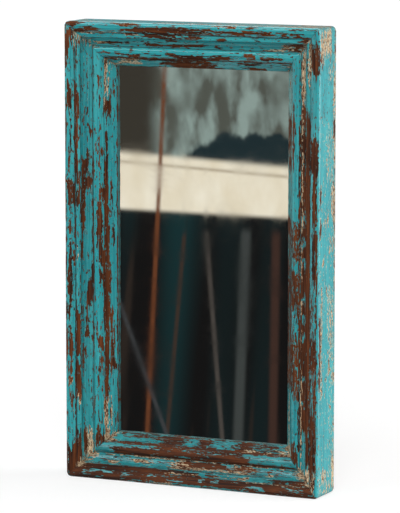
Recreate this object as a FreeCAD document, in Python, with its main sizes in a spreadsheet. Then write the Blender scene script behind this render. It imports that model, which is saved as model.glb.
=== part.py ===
import FreeCAD, Part
import math
import os

import Sketcher
from FreeCAD import Placement, Rotation, Vector

# A framed wall mirror: a deep mitred frame, a bead moulding seated in it, and the glass with its backing.
# The frame stands on Z = 0 with its front towards -Y. Sizes are millimetres.
# On the section of the frame, inset runs from the outer side to the middle and depth from front to back.

SIZES = {
    # Outer frame members
    "frame_width": "450",
    "frame_height": "750",
    "corner_round": "8",
    "nose_round": "5.5",
    "back_round": "3",
    "band_width": "17",
    "band_fall": "5.5",
    "band_crown": "30",
    "step_drop": "2",
    "fillet_width": "8.5",
    "fillet_fall": "1",
    "cove_width": "15.5",
    "cove_fall": "15.5",
    # Sight moulding
    "bead_flank": "3",
    "bead_width": "18.5",
    "bead_fall": "6",
    "splay_width": "14",
    "splay_fall": "18.5",
    "lip_wall": "5",
    "lip_overlap": "7.5",
    "heel_height": "18",
    # Glass, card and back panel
    "glass_thickness": "4",
    "glass_arris": "0.6",
    "glass_clearance": "2",
    "block_length": "30",
    "card_thickness": "2",
    "panel_thickness": "6",
    "panel_edge": "0.8",
    "panel_ledge": "14",
    "panel_clearance": "1",
    "panel_recess": "4.5",
    # Loose tongues in the mitres
    "tongue_length": "28",
    "tongue_width": "20",
    "tongue_thickness": "8",
    "tongue_inset": "30",
    "tongue_clearance": "0.2",
    # Screws
    "screw_diameter": "3.5",
    "screw_head": "7",
    "screw_tip": "3",
    "screw_clearance": "0.1",
    "pilot_spare": "1",
    "moulding_screw_length": "25",
    "hanger_screw_length": "18",
    "panel_screw_length": "16",
    "panel_screw_dome": "2.4",
    "drive_length": "3.8",
    "drive_width": "0.9",
    "drive_depth": "1.2",
    # Hangers
    "ring_height": "560",
    "ring_wire": "3.2",
    "ring_span": "25",
    "ring_bend": "4",
    "ring_leg": "6",
    "ring_running_clearance": "0.08",
    "ring_rest_gap": "0.5",
    "strap_width": "15",
    "strap_leaf": "1.2",
    "strap_length": "44",
    "strap_corner": "3",
    "strap_first_hole": "14",
    "strap_hole_spacing": "20",
    # Felt bumpers
    "bumper_diameter": "22",
    "bumper_thickness": "7",
    "bumper_round": "1.5",
    "bumper_height": "60",
    # How far a cut runs past the solid
    "cut_overrun": "5",
}

PLACES = {
    # Insets and depths of the front, from the outer edge inwards
    "step_depth": "Sizes.band_fall + Sizes.step_drop",
    "cove_inset": "Sizes.band_width + Sizes.fillet_width",
    "cove_depth": "step_depth + Sizes.fillet_fall",
    "cove_radius": "sqrt((Sizes.cove_width^2 + Sizes.cove_fall^2) / 2)",
    "crease_inset": "cove_inset + Sizes.cove_width",
    "crease_depth": "cove_depth + Sizes.cove_fall",
    "shoulder_inset": "crease_inset + Sizes.bead_flank",
    "shoulder_depth": "crease_depth - Sizes.bead_flank",
    "arris_inset": "crease_inset + Sizes.bead_width",
    "arris_depth": "crease_depth + Sizes.bead_fall",
    "bead_radius": "sqrt(((arris_inset - shoulder_inset)^2 + (arris_depth - shoulder_depth)^2) / 2)",
    "sight_inset": "arris_inset + Sizes.splay_width",
    "lip_depth": "arris_depth + Sizes.splay_fall",
    # Insets and depths of the rebates behind it
    "seat_depth": "crease_depth + Sizes.heel_height",
    "glass_inset": "sight_inset - Sizes.lip_overlap",
    "rebate_inset": "glass_inset - Sizes.glass_clearance",
    "panel_rebate_inset": "rebate_inset - Sizes.panel_ledge",
    "panel_inset": "panel_rebate_inset + Sizes.panel_clearance",
    "glass_depth": "lip_depth + Sizes.lip_wall",
    "card_depth": "glass_depth + Sizes.glass_thickness",
    "panel_depth": "card_depth + Sizes.card_thickness",
    "panel_back_depth": "panel_depth + Sizes.panel_thickness",
    "frame_depth": "panel_back_depth + Sizes.panel_recess",
    "tongue_depth": "(seat_depth + panel_depth) / 2",
    "screw_line": "(panel_inset + rebate_inset) / 2",
    "back_line": "panel_rebate_inset / 2",
    # Planes of the whole mirror, with the depth of frame and bumpers centred on Y = 0
    "half_width": "Sizes.frame_width / 2",
    "front_plane": "-(frame_depth + Sizes.bumper_thickness) / 2",
    "back_plane": "front_plane + frame_depth",
    # Hanger: the knuckle of the strap lies on the back plane and the ring rests on the doubled leaf
    "knuckle_bore": "Sizes.ring_wire / 2 + Sizes.ring_running_clearance",
    "knuckle_radius": "knuckle_bore + Sizes.strap_leaf",
    "strap_thickness": "2 * Sizes.strap_leaf",
    "ring_bar": "Sizes.ring_span / 2 - Sizes.ring_bend",
    "ring_arc_drop": "Sizes.ring_bend + Sizes.ring_leg",
    "ring_drop": "ring_arc_drop + Sizes.ring_span / 2",
    "ring_lift": "strap_thickness + Sizes.ring_wire / 2 + Sizes.ring_rest_gap - knuckle_radius",
    "ring_rest_angle": "asin(ring_lift / ring_drop)",
}

# Screws along a stile and along a rail, as shares of its length. Each list reads the same from both ends.
SCREW_SHARES = {
    "moulding": {"Sizes.frame_height": (0.2, 0.5, 0.8), "Sizes.frame_width": (0.36, 0.64)},
    "panel": {"Sizes.frame_height": (0.14, 0.38, 0.62, 0.86), "Sizes.frame_width": (0.25, 0.5, 0.75)},
}
# Middle of a setting block, as a share of the glass width out from the centre line
BLOCK_SHARE = 0.25

# Member: name, turn about the depth axis in degrees, and the name of its length
MEMBERS = (
    ("left", 0, "Sizes.frame_height"),
    ("top", 90, "Sizes.frame_width"),
    ("right", 180, "Sizes.frame_height"),
    ("bottom", 270, "Sizes.frame_width"),
)
OUTER_NAMES = {"left": "left_stile", "top": "top_rail", "right": "right_stile", "bottom": "bottom_rail"}

document = FreeCAD.newDocument("wooden_mirror")


def fill_sheet(name, cells, prefix):
    """A sheet with one aliased cell a row."""
    sheet = document.addObject("Spreadsheet::Sheet", name)
    for row, (alias, text) in enumerate(cells.items(), start=1):
        sheet.set(f"A{row}", alias)
        sheet.set(f"B{row}", prefix + text)
        sheet.setAlias(f"B{row}", alias)
    document.recompute()
    return sheet


sizes = fill_sheet("Sizes", SIZES, "")
fill_sheet("Places", PLACES, "=")


def value(expression):
    """The present value of an expression of the sheets."""
    return float(sizes.evalExpression(expression))


# Sketches

def new_body(label):
    body = document.addObject("PartDesign::Body", label)
    body.Label = label
    return body


def new_sketch(body, name, role, offset=None):
    """A sketch on one of the body's own origin planes, moved along the plane's normal by an expression."""
    plane = next(feature for feature in body.Origin.OriginFeatures if feature.Role == role)
    sketch = body.newObject("Sketcher::SketchObject", name)
    sketch.AttachmentSupport = [(plane, "")]
    sketch.MapMode = "FlatFace"
    if offset:
        sketch.setExpression("AttachmentOffset.Base.z", offset)
    return sketch


def pin_point(sketch, geometry, end, x, y):
    """Ties a point to the sketch's origin by expressions."""
    for kind, text, axis in (("DistanceX", x, -2), ("DistanceY", y, -1)):
        if text == "0":
            sketch.addConstraint(Sketcher.Constraint("PointOnObject", geometry, end, axis))
        else:
            constraint = Sketcher.Constraint(kind, -1, 1, geometry, end, value(text))
            index = sketch.addConstraint(constraint)
            sketch.setExpression(f"Constraints[{index}]", text)


def set_radius(sketch, geometry, radius):
    index = sketch.addConstraint(Sketcher.Constraint("Radius", geometry, value(radius)))
    sketch.setExpression(f"Constraints[{index}]", radius)


def arc_between(start, finish, radius, turn, large):
    """The arc of a radius from start to finish: turn is 1 against the clock and -1 with it."""
    chord = finish - start
    side = -turn if large else turn
    reach = math.sqrt(max(radius**2 - chord.Length**2 / 4, 0))
    across = Vector(-chord.y, chord.x, 0).normalize() * side
    centre = (start + finish) / 2 + across * reach
    first, last = (start, finish) if turn > 0 else (finish, start)
    angles = [math.atan2(point.y - centre.y, point.x - centre.x) for point in (first, last)]
    return Part.ArcOfCircle(Part.Circle(centre, Vector(0, 0, 1), radius), *angles)


def outline(sketch, corners):
    """A closed outline. A corner is (x, y), or (x, y, radius, turn) where the edge after it is an arc,
    with a fifth entry where that arc is more than a half circle."""
    points = [Vector(value(corner[0]), value(corner[1]), 0) for corner in corners]
    ends = []
    for index, corner in enumerate(corners):
        start, finish = points[index], points[(index + 1) % len(points)]
        if len(corner) == 2:
            ends.append((sketch.addGeometry(Part.LineSegment(start, finish)), 1, 2))
            continue
        radius, turn = corner[2], corner[3]
        arc = arc_between(start, finish, value(radius), turn, len(corner) == 5)
        geometry = sketch.addGeometry(arc)
        ends.append((geometry, 1, 2) if turn > 0 else (geometry, 2, 1))
        set_radius(sketch, geometry, radius)
    for index, corner in enumerate(corners):
        geometry, first, last = ends[index]
        following, following_first = ends[(index + 1) % len(ends)][:2]
        sketch.addConstraint(Sketcher.Constraint("Coincident", geometry, last, following, following_first))
        pin_point(sketch, geometry, first, corner[0], corner[1])


def circle(sketch, x, y, radius):
    shape = Part.Circle(Vector(value(x), value(y), 0), Vector(0, 0, 1), value(radius))
    geometry = sketch.addGeometry(shape)
    pin_point(sketch, geometry, 3, x, y)
    set_radius(sketch, geometry, radius)


def rectangle(sketch, left, bottom, right, top):
    outline(sketch, [(left, bottom), (right, bottom), (right, top), (left, top)])


# Features

def pad(body, sketch, length, symmetric=False, reverse=False):
    feature = body.newObject("PartDesign::Pad", f"{body.Label}_pad")
    feature.Profile = sketch
    feature.SideType = "Symmetric" if symmetric else "One side"
    feature.Reversed = reverse
    feature.setExpression("Length", length)
    document.recompute()


def check_cut(body, before):
    """A cut that points away from the solid removes nothing."""
    document.recompute()
    if body.Shape.Volume >= before:
        raise RuntimeError(f"a cut in {body.Label} removed nothing")


def pocket(body, sketch, length=None):
    """A cut right through, or of a length centred on the sketch."""
    before = body.Shape.Volume
    feature = body.newObject("PartDesign::Pocket", f"{sketch.Label}_pocket")
    feature.Profile = sketch
    if length:
        feature.SideType = "Symmetric"
        feature.setExpression("Length", length)
    else:
        feature.Type = "ThroughAll"
    check_cut(body, before)


def drill(body, name, face_depth, centres, depth=None, countersunk=False):
    """Screw holes from a back face towards the front, right through if no depth is given."""
    before = body.Shape.Volume
    sketch = new_sketch(body, f"{body.Label}_{name}", "XZ_Plane", f"-({face_depth})")
    for x, y in centres:
        circle(sketch, x, y, "Sizes.screw_diameter / 2")
    document.recompute()
    hole = body.newObject("PartDesign::Hole", f"{sketch.Label}_hole")
    hole.Profile = sketch
    hole.Reversed = True
    hole.DrillPoint = "Flat"
    hole.setExpression("Diameter", "Sizes.screw_diameter + 2 * Sizes.screw_clearance")
    if depth:
        hole.DepthType = "Dimension"
        hole.setExpression("Depth", depth)
    else:
        hole.DepthType = "ThroughAll"
    if countersunk:
        hole.HoleCutType = "Countersink"
        hole.HoleCutCustomValues = True
        hole.setExpression("HoleCutDiameter", "Sizes.screw_head + 2 * Sizes.screw_clearance")
        hole.HoleCutCountersinkAngle = 90
    check_cut(body, before)


def dress_edges(body, kind, size, wanted):
    """A chamfer or fillet on the edges of the body whose ends and middle pass the test."""
    base = body.Tip
    names = []
    for number, edge in enumerate(base.Shape.Edges, start=1):
        points = [vertex.Point for vertex in edge.Vertexes] + [edge.CenterOfMass]
        if all(wanted(point) for point in points):
            names.append(f"Edge{number}")
    feature = body.newObject(f"PartDesign::{kind}", f"{body.Label}_{kind.lower()}")
    feature.Base = (base, names)
    feature.setExpression("Radius" if kind == "Fillet" else "Size", size)
    document.recompute()


def place(body, x, y, z, rotation=Rotation()):
    body.Placement = Placement(Vector(0, 0, 0), rotation)
    for axis, text in zip("xyz", (x, y, z)):
        body.setExpression(f"Placement.Base.{axis}", text)


# Frame members. Each is drawn with inset on X, depth on Y and its length on Z, then turned into its place.

OUTER_SECTION = [
    ("0", "Sizes.nose_round", "Sizes.nose_round", 1),
    ("Sizes.nose_round", "0", "Sizes.band_crown", 1),
    ("Sizes.band_width", "Sizes.band_fall"),
    ("Sizes.band_width", "Places.step_depth"),
    ("Places.cove_inset", "Places.cove_depth", "Places.cove_radius", -1),
    ("Places.crease_inset", "Places.crease_depth"),
    ("Places.crease_inset", "Places.seat_depth"),
    ("Places.rebate_inset", "Places.seat_depth"),
    ("Places.rebate_inset", "Places.panel_depth"),
    ("Places.panel_rebate_inset", "Places.panel_depth"),
    ("Places.panel_rebate_inset", "Places.frame_depth"),
    ("Sizes.back_round", "Places.frame_depth", "Sizes.back_round", 1),
    ("0", "Places.frame_depth - Sizes.back_round"),
]

SIGHT_SECTION = [
    ("Places.crease_inset", "Places.crease_depth"),
    ("Places.shoulder_inset", "Places.shoulder_depth", "Places.bead_radius", 1),
    ("Places.arris_inset", "Places.arris_depth"),
    ("Places.sight_inset", "Places.lip_depth"),
    ("Places.sight_inset", "Places.glass_depth"),
    ("Places.rebate_inset", "Places.glass_depth"),
    ("Places.rebate_inset", "Places.seat_depth"),
    ("Places.crease_inset", "Places.seat_depth"),
]


def from_end(length, along, far):
    """A distance along a member, from its near or its far end."""
    return f"{length} - ({along})" if far else along


def seen_from_front(member, inset, along):
    """X and Z on the mirror of a point on a member, by its inset and its distance along the member."""
    return {
        "left": (f"{inset} - Places.half_width", along),
        "top": (f"{along} - Places.half_width", f"Sizes.frame_height - {inset}"),
        "right": (f"Places.half_width - {inset}", f"Sizes.frame_height - ({along})"),
        "bottom": (f"Places.half_width - ({along})", inset),
    }[member]


def place_member(body, member, turn):
    x, z = seen_from_front(member, "0", "0")
    place(body, x, "Places.front_plane", z, Rotation(Vector(0, 1, 0), turn))


def cut_mitres(body, length):
    """Cuts both ends to 45 degrees and rounds the outer corner of the frame."""
    past_sight = "Places.sight_inset + Sizes.cut_overrun"
    round_end = "Sizes.corner_round * (1 - cos(45 deg))"
    sketch = new_sketch(body, f"{body.Label}_mitres", "XZ_Plane")
    for far in (False, True):
        corners = [
            ("0", "Sizes.corner_round", "Sizes.corner_round", -1 if far else 1),
            (round_end, round_end),
            (past_sight, past_sight),
            (past_sight, "-Sizes.cut_overrun"),
            ("-Sizes.cut_overrun", "-Sizes.cut_overrun"),
            ("-Sizes.cut_overrun", "Sizes.corner_round"),
        ]
        outline(sketch, [(x, from_end(length, along, far), *arc) for x, along, *arc in corners])
    pocket(body, sketch)


def cut_tongue_slots(body, length):
    """Slots for the loose tongues, across the mitre at both ends."""
    half_length = "(Sizes.tongue_length / 2 + Sizes.tongue_clearance) * cos(45 deg)"
    half_width = "(Sizes.tongue_width / 2 + Sizes.tongue_clearance) * cos(45 deg)"
    sketch = new_sketch(body, f"{body.Label}_slots", "XZ_Plane", "-Places.tongue_depth")
    for far in (False, True):
        corners = []
        for along_sign, across_sign in (("+", "+"), ("+", "-"), ("-", "-"), ("-", "+")):
            away_sign = "-" if across_sign == "+" else "+"
            along = f"Sizes.tongue_inset {along_sign} {half_length} {away_sign} {half_width}"
            x = f"Sizes.tongue_inset {along_sign} {half_length} {across_sign} {half_width}"
            corners.append((x, from_end(length, along, far)))
        outline(sketch, corners)
    pocket(body, sketch, "Sizes.tongue_thickness + 2 * Sizes.tongue_clearance")


def screw_points(group, length):
    """Inset and distance along a member of the screws of a group."""
    return [("Places.screw_line", f"{length} * {share}") for share in SCREW_SHARES[group][length]]


STRAP_HOLE_DROPS = ("Sizes.strap_first_hole", "Sizes.strap_first_hole + Sizes.strap_hole_spacing")


def outer_member(member, turn, length):
    body = new_body(OUTER_NAMES[member])
    section = new_sketch(body, f"{body.Label}_section", "XY_Plane")
    outline(section, OUTER_SECTION)
    pad(body, section, length)
    cut_mitres(body, length)
    cut_tongue_slots(body, length)
    drill(body, "moulding_holes", "Places.panel_depth", screw_points("moulding", length), countersunk=True)
    pilot = "Sizes.panel_screw_length - Sizes.panel_thickness + Sizes.pilot_spare"
    drill(body, "panel_pilots", "Places.panel_depth", screw_points("panel", length), pilot)
    if member in ("left", "right"):
        pilot = "Sizes.hanger_screw_length - Places.strap_thickness + Sizes.pilot_spare"
        heights = [f"Sizes.ring_height - ({drop})" for drop in STRAP_HOLE_DROPS]
        on_back_line = [("Places.back_line", from_end(length, up, member == "right")) for up in heights]
        drill(body, "hanger_pilots", "Places.frame_depth", on_back_line, pilot)
    place_member(body, member, turn)
    return body


def sight_moulding(member, turn, length):
    body = new_body(f"{member}_sight_moulding")
    section = new_sketch(body, f"{body.Label}_section", "XY_Plane")
    outline(section, SIGHT_SECTION)
    pad(body, section, length)
    cut_mitres(body, length)
    pilot = "Sizes.moulding_screw_length - (Places.panel_depth - Places.seat_depth) + Sizes.pilot_spare"
    drill(body, "pilots", "Places.seat_depth", screw_points("moulding", length), pilot)
    place_member(body, member, turn)
    return body


def mitre_tongue(rail, side):
    """A loose tongue, turned 45 degrees to lie across its mitre."""
    body = new_body(f"mitre_tongue_{rail}_{side}")
    sketch = new_sketch(body, f"{body.Label}_outline", "XZ_Plane")
    half_length, half_width = "Sizes.tongue_length / 2", "Sizes.tongue_width / 2"
    rectangle(sketch, f"-{half_length}", f"-{half_width}", half_length, half_width)
    pad(body, sketch, "Sizes.tongue_thickness", symmetric=True)
    x = seen_from_front(side, "Sizes.tongue_inset", "0")[0]
    z = seen_from_front(rail, "Sizes.tongue_inset", "0")[1]
    turn = 45 if (rail == "top") == (side == "left") else -45
    place(body, x, "Places.front_plane + Places.tongue_depth", z, Rotation(Vector(0, 1, 0), turn))
    return body


# Glass and backing

def sheet_outline(body, inset):
    """The outline of a sheet that stops at an inset on all four sides."""
    sketch = new_sketch(body, f"{body.Label}_outline", "XZ_Plane")
    half = f"Places.half_width - {inset}"
    rectangle(sketch, f"-({half})", inset, half, f"Sizes.frame_height - {inset}")
    return sketch


def mirror_glass():
    body = new_body("mirror_glass")
    pad(body, sheet_outline(body, "Places.glass_inset"), "Sizes.glass_thickness", reverse=True)
    dress_edges(body, "Chamfer", "Sizes.glass_arris", lambda point: point.y < value("Sizes.glass_arris"))
    place(body, "0", "Places.front_plane + Places.glass_depth", "0")
    return body


def backing_card():
    card = document.addObject("Part::Box", "backing_card")
    card.setExpression("Length", "Sizes.frame_width - 2 * Places.glass_inset")
    card.setExpression("Width", "Sizes.card_thickness")
    card.setExpression("Height", "Sizes.frame_height - 2 * Places.glass_inset")
    left = "Places.glass_inset - Places.half_width"
    place(card, left, "Places.front_plane + Places.card_depth", "Places.glass_inset")
    return card


def setting_block(label, side):
    block = document.addObject("Part::Box", label)
    block.setExpression("Length", "Sizes.block_length")
    block.setExpression("Width", "Sizes.glass_thickness")
    block.setExpression("Height", "Sizes.glass_clearance")
    middle = f"{side * BLOCK_SHARE} * (Sizes.frame_width - 2 * Places.glass_inset)"
    x = f"{middle} - Sizes.block_length / 2"
    place(block, x, "Places.front_plane + Places.glass_depth", "Places.rebate_inset")
    return block


def screw_centres(group):
    """X and Z of every screw of a group."""
    centres = []
    for member, turn, length in MEMBERS:
        centres += [seen_from_front(member, inset, along) for inset, along in screw_points(group, length)]
    return centres


def back_panel():
    body = new_body("back_panel")
    pad(body, sheet_outline(body, "Places.panel_inset"), "Sizes.panel_thickness", reverse=True)
    limit = value("Sizes.panel_thickness - Sizes.panel_edge")
    dress_edges(body, "Chamfer", "Sizes.panel_edge", lambda point: point.y > limit)
    drill(body, "holes", "Sizes.panel_thickness", screw_centres("panel"))
    place(body, "0", "Places.front_plane + Places.panel_depth", "0")
    return body


# Screws. Each is turned about Z with the seat of its head at the origin and its tip down.

SCREW_RADIUS = "Sizes.screw_diameter / 2"
HEAD_RADIUS = "Sizes.screw_head / 2"


def quarter_turns(x, y, turns):
    """A point turned about the origin by quarter turns."""
    for turn in range(turns):
        x, y = f"-({y})", x
    return x, y


def screw(name, length, head_corners, top):
    """A screw with a head, a plain shank with a tip, and a cross recess."""
    body = new_body(name)
    sketch = new_sketch(body, f"{name}_half", "XZ_Plane")
    shank = [(SCREW_RADIUS, f"Sizes.screw_tip - {length}"), ("0", f"-{length}")]
    outline(sketch, head_corners + shank)
    turned = body.newObject("PartDesign::Revolution", f"{name}_turned")
    turned.Profile = sketch
    turned.ReferenceAxis = (sketch, ["V_Axis"])
    turned.Angle = 360
    document.recompute()
    recess = new_sketch(body, f"{name}_recess", "XY_Plane", top)
    long, short = "Sizes.drive_length / 2", "Sizes.drive_width / 2"
    arm = [(long, f"-{short}"), (long, short), (short, short)]
    outline(recess, [quarter_turns(x, y, turns) for turns in range(4) for x, y in arm])
    pocket(body, recess, "2 * Sizes.drive_depth")
    return body


def countersunk_screw(name, length):
    cone = f"({SCREW_RADIUS}) - ({HEAD_RADIUS})"
    return screw(name, length, [("0", "0"), (HEAD_RADIUS, "0"), (SCREW_RADIUS, cone)], "0")


def round_head_screw(name, length):
    dome = "Sizes.panel_screw_dome"
    cap = f"((Sizes.screw_head / 2)^2 + {dome}^2) / (2 * {dome})"
    return screw(name, length, [("0", dome, cap, -1), (HEAD_RADIUS, "0"), (SCREW_RADIUS, "0")], dome)


def screw_group(label, pattern, centres, depth):
    """Copies of one screw, driven from the back into their holes, as separate solids of one piece."""
    y = value(f"Places.front_plane + {depth}")
    copies = []
    for x, z in centres:
        copy = pattern.Shape.copy()
        copy.Placement = Placement(Vector(value(x), y, value(z)), Rotation(Vector(1, 0, 0), -90))
        copies.append(copy)
    group = document.addObject("Part::Feature", label)
    group.Shape = Part.makeCompound(copies)
    return group


# Hangers. Strap and ring are drawn with the ring's axis on X, the frame's back at Y = 0 and down at -Z.

def hanger_x(member):
    return seen_from_front(member, "Places.back_line", "0")[0]


def hanger_screw_centres():
    centres = []
    for member in ("left", "right"):
        centres += [(hanger_x(member), f"Sizes.ring_height - ({drop})") for drop in STRAP_HOLE_DROPS]
    return centres


def hanger_strap(member):
    body = new_body(f"{member}_hanger_strap")
    side = new_sketch(body, f"{body.Label}_side", "YZ_Plane")
    radius = "Places.knuckle_radius"
    outline(side, [
        ("0", "0", radius, -1, "more than half"),
        (f"{radius} * (1 + cos(60 deg))", f"-{radius} * sin(60 deg)"),
        ("Places.strap_thickness", f"-2 * {radius}"),
        ("Places.strap_thickness", "-Sizes.strap_length"),
        ("0", "-Sizes.strap_length"),
    ])
    circle(side, radius, "0", "Places.knuckle_bore")
    pad(body, side, "Sizes.strap_width", symmetric=True)
    low_end = value("-Sizes.strap_length")

    def at_low_corner(point):
        return math.isclose(point.z, low_end) and math.isclose(abs(point.x), value("Sizes.strap_width / 2"))

    dress_edges(body, "Fillet", "Sizes.strap_corner", at_low_corner)
    centres = [("0", f"-({drop})") for drop in STRAP_HOLE_DROPS]
    drill(body, "holes", "Places.strap_thickness", centres, countersunk=True)
    place(body, hanger_x(member), "Places.back_plane", "Sizes.ring_height")
    return body


def hanger_ring(member):
    """A D-ring of round wire. Its straight bar runs in the knuckle and it rests against the strap."""
    body = new_body(f"{member}_hanger_ring")
    path = new_sketch(body, f"{body.Label}_path", "XZ_Plane")
    bar, side, bend = "Places.ring_bar", "Sizes.ring_span / 2", "Sizes.ring_bend"
    outline(path, [
        ("0", "0"),
        (bar, "0", bend, -1),
        (side, f"-{bend}"),
        (side, "-Places.ring_arc_drop", side, -1),
        ("0", "-Places.ring_drop", side, -1),
        (f"-({side})", "-Places.ring_arc_drop"),
        (f"-({side})", f"-{bend}", bend, -1),
        (f"-({bar})", "0"),
    ])
    section = new_sketch(body, f"{body.Label}_section", "YZ_Plane")
    circle(section, "0", "0", "Sizes.ring_wire / 2")
    wire = body.newObject("PartDesign::AdditivePipe", f"{body.Label}_wire")
    wire.Profile = section
    wire.Spine = path
    document.recompute()
    axis_plane = "Places.back_plane + Places.knuckle_radius"
    resting = Rotation(Vector(1, 0, 0), value("Places.ring_rest_angle"))
    place(body, hanger_x(member), axis_plane, "Sizes.ring_height", resting)
    return body


def wall_bumper(member):
    body = new_body(f"wall_bumper_{member}")
    sketch = new_sketch(body, f"{body.Label}_outline", "XZ_Plane")
    circle(sketch, "0", "0", "Sizes.bumper_diameter / 2")
    pad(body, sketch, "Sizes.bumper_thickness", reverse=True)
    dress_edges(body, "Fillet", "Sizes.bumper_round", lambda point: point.y > value("Sizes.bumper_round"))
    place(body, hanger_x(member), "Places.back_plane", "Sizes.bumper_height")
    return body


def screw_groups():
    moulding_screw = countersunk_screw("moulding_screw", "Sizes.moulding_screw_length")
    hanger_screw = countersunk_screw("hanger_screw", "Sizes.hanger_screw_length")
    panel_screw = round_head_screw("panel_screw", "Sizes.panel_screw_length")
    strap_face = "Places.frame_depth + Places.strap_thickness"
    return [
        screw_group("moulding_screws", moulding_screw, screw_centres("moulding"), "Places.panel_depth"),
        screw_group("hanger_screws", hanger_screw, hanger_screw_centres(), strap_face),
        screw_group("back_panel_screws", panel_screw, screw_centres("panel"), "Places.panel_back_depth"),
    ]


def build():
    pieces = []
    for member, turn, length in MEMBERS:
        pieces.append(outer_member(member, turn, length))
        pieces.append(sight_moulding(member, turn, length))
    for rail in ("top", "bottom"):
        for side in ("left", "right"):
            pieces.append(mitre_tongue(rail, side))
    pieces += [mirror_glass(), backing_card(), back_panel()]
    pieces += [setting_block("setting_block_left", -1), setting_block("setting_block_right", 1)]
    for member in ("left", "right"):
        pieces += [hanger_strap(member), hanger_ring(member), wall_bumper(member)]
    pieces += screw_groups()
    document.recompute()
    return pieces


def check(pieces):
    for item in document.Objects:
        if "Invalid" in item.State or "Error" in item.State:
            raise RuntimeError(f"{item.Label} failed: {item.State}")
    for piece in pieces:
        if piece.Shape.isNull() or not piece.Shape.isValid():
            raise RuntimeError(f"{piece.Label} has no valid shape")


def export(pieces):
    os.makedirs("parts", exist_ok=True)
    for piece in pieces:
        piece.Shape.exportStep(f"parts/{piece.Label}.step")
        print(piece.Label, len(piece.Shape.Solids), round(piece.Shape.Volume))


mirror = build()
check(mirror)
export(mirror)
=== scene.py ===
"""Looks of the wooden mirror: flaking turquoise paint on dark wood, silvered glass, and the fittings behind.

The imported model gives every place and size. The eight frame members are made again as finely divided mouldings,
so that arrises can wear, mitres can open and paint can come away in flakes. Everything else keeps its CAD mesh.
"""
import math

import bpy
import numpy as np
from bpy.props import FloatProperty, FloatVectorProperty, PointerProperty
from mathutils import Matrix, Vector


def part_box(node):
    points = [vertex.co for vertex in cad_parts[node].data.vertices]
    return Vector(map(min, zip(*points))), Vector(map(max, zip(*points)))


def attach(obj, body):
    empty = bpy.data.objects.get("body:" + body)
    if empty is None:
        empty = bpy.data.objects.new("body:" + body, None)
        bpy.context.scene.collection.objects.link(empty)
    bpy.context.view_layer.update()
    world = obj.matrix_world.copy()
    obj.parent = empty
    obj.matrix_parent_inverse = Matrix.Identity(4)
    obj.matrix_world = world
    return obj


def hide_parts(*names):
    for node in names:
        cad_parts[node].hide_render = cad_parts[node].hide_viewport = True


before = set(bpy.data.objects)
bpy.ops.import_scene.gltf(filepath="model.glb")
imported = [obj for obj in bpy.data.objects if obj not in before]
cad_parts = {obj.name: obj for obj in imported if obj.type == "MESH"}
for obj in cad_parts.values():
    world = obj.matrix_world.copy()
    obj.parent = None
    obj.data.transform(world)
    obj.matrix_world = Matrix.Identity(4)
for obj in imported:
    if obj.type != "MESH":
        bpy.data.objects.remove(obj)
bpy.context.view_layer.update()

bl_info = {
    "name": "Weathered Wooden Mirror",
    "version": (1, 0, 0),
    "blender": (4, 5, 0),
    "location": "3D View > Sidebar > Mirror",
    "description": "Dresses a mitred mirror frame in flaking paint and finishes its glass and fittings",
    "category": "Object",
}

# Where the frame stands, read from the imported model.
STILE_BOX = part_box("left_stile")
FRAME_LOW = Vector((*STILE_BOX[0].xy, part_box("bottom_rail")[0].z))
FRAME_HIGH = Vector((*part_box("right_stile")[1].xy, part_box("top_rail")[1].z))
SIGHT_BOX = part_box("left_sight_moulding")
PANEL_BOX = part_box("back_panel")
FRAME_WIDTH = FRAME_HIGH.x - FRAME_LOW.x
FRAME_HEIGHT = FRAME_HIGH.z - FRAME_LOW.z
FRAME_DEPTH = FRAME_HIGH.y - FRAME_LOW.y
FRONT_PLANE = FRAME_LOW.y
REBATE_INSET = STILE_BOX[1].x - STILE_BOX[0].x
CREASE_INSET = SIGHT_BOX[0].x - STILE_BOX[0].x
SIGHT_INSET = SIGHT_BOX[1].x - STILE_BOX[0].x
GLASS_DEPTH = SIGHT_BOX[1].y - FRONT_PLANE
PANEL_DEPTH = PANEL_BOX[0].y - FRONT_PLANE
PANEL_INSET = PANEL_BOX[0].x - STILE_BOX[0].x

# How finely the members are divided, in metres.
FACE_SPACING = 0.0008
SIDE_SPACING = 0.0016
REAR_SPACING = 0.0045
LENGTH_SPACING = 0.0024
MITRE_STEPS = (0.0, 0.0004, 0.001, 0.002)
ROUNDING_PASSES = 3
SHARP_ANGLE = math.radians(50.0)

# How the surface of old wood departs from a straight moulding, in metres.
BROAD_SWELL = 0.00032
SMALL_SWELL = 0.00012
GRAIN_RIDGE = 0.00006
ARRIS_CHIP = 0.0011
ARRIS_REACH = 0.0014
MITRE_GROOVE = 0.0003
MITRE_REACH = 0.0007
RELIEF_MARGIN = 0.001
RELIEF_FADE = 0.002
# Noise above this level chips an arris. A mitre's groove has this mean share of its depth, and this change.
CHIP_LEVEL = 0.15
GROOVE_MEAN = 0.6
GROOVE_CHANGE = 0.4

# Noises of the worn surface: what each adds to a member's seed, and the size of its cells in metres, along and
# across the member, or across and along it for those of the mitres.
NOISE_CELLS = 128
NOISES = {
    "broad_swell": (0, 0.055, 0.02),
    "small_swell": (1, 0.013, 0.005),
    "grain_ridge": (2, 0.05, 0.0017),
    "arris_chip": (3, 0.007, 0.02),
    "mitre_groove": (4, 0.006, 0.2),
    "patch_along": (5, 0.012, 0.0035),
    "patch_across": (6, 0.010, 0.0035),
    "uneven_wear": (7, 0.06, 0.02),
    "arris_wear": (8, 0.03, 0.02),
    "mitre_cream": (9, 0.005, 0.02),
}

# How far the edge of a worn patch wanders and fades, in metres, and the most that it fades, in shares of the
# patch.
PATCH_WANDER_ALONG = 0.009
PATCH_WANDER_ACROSS = 0.0013
PATCH_FADE_ALONG = 0.018
PATCH_FADE_ACROSS = 0.0030
PATCH_FADE_SHARE = 0.65

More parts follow.
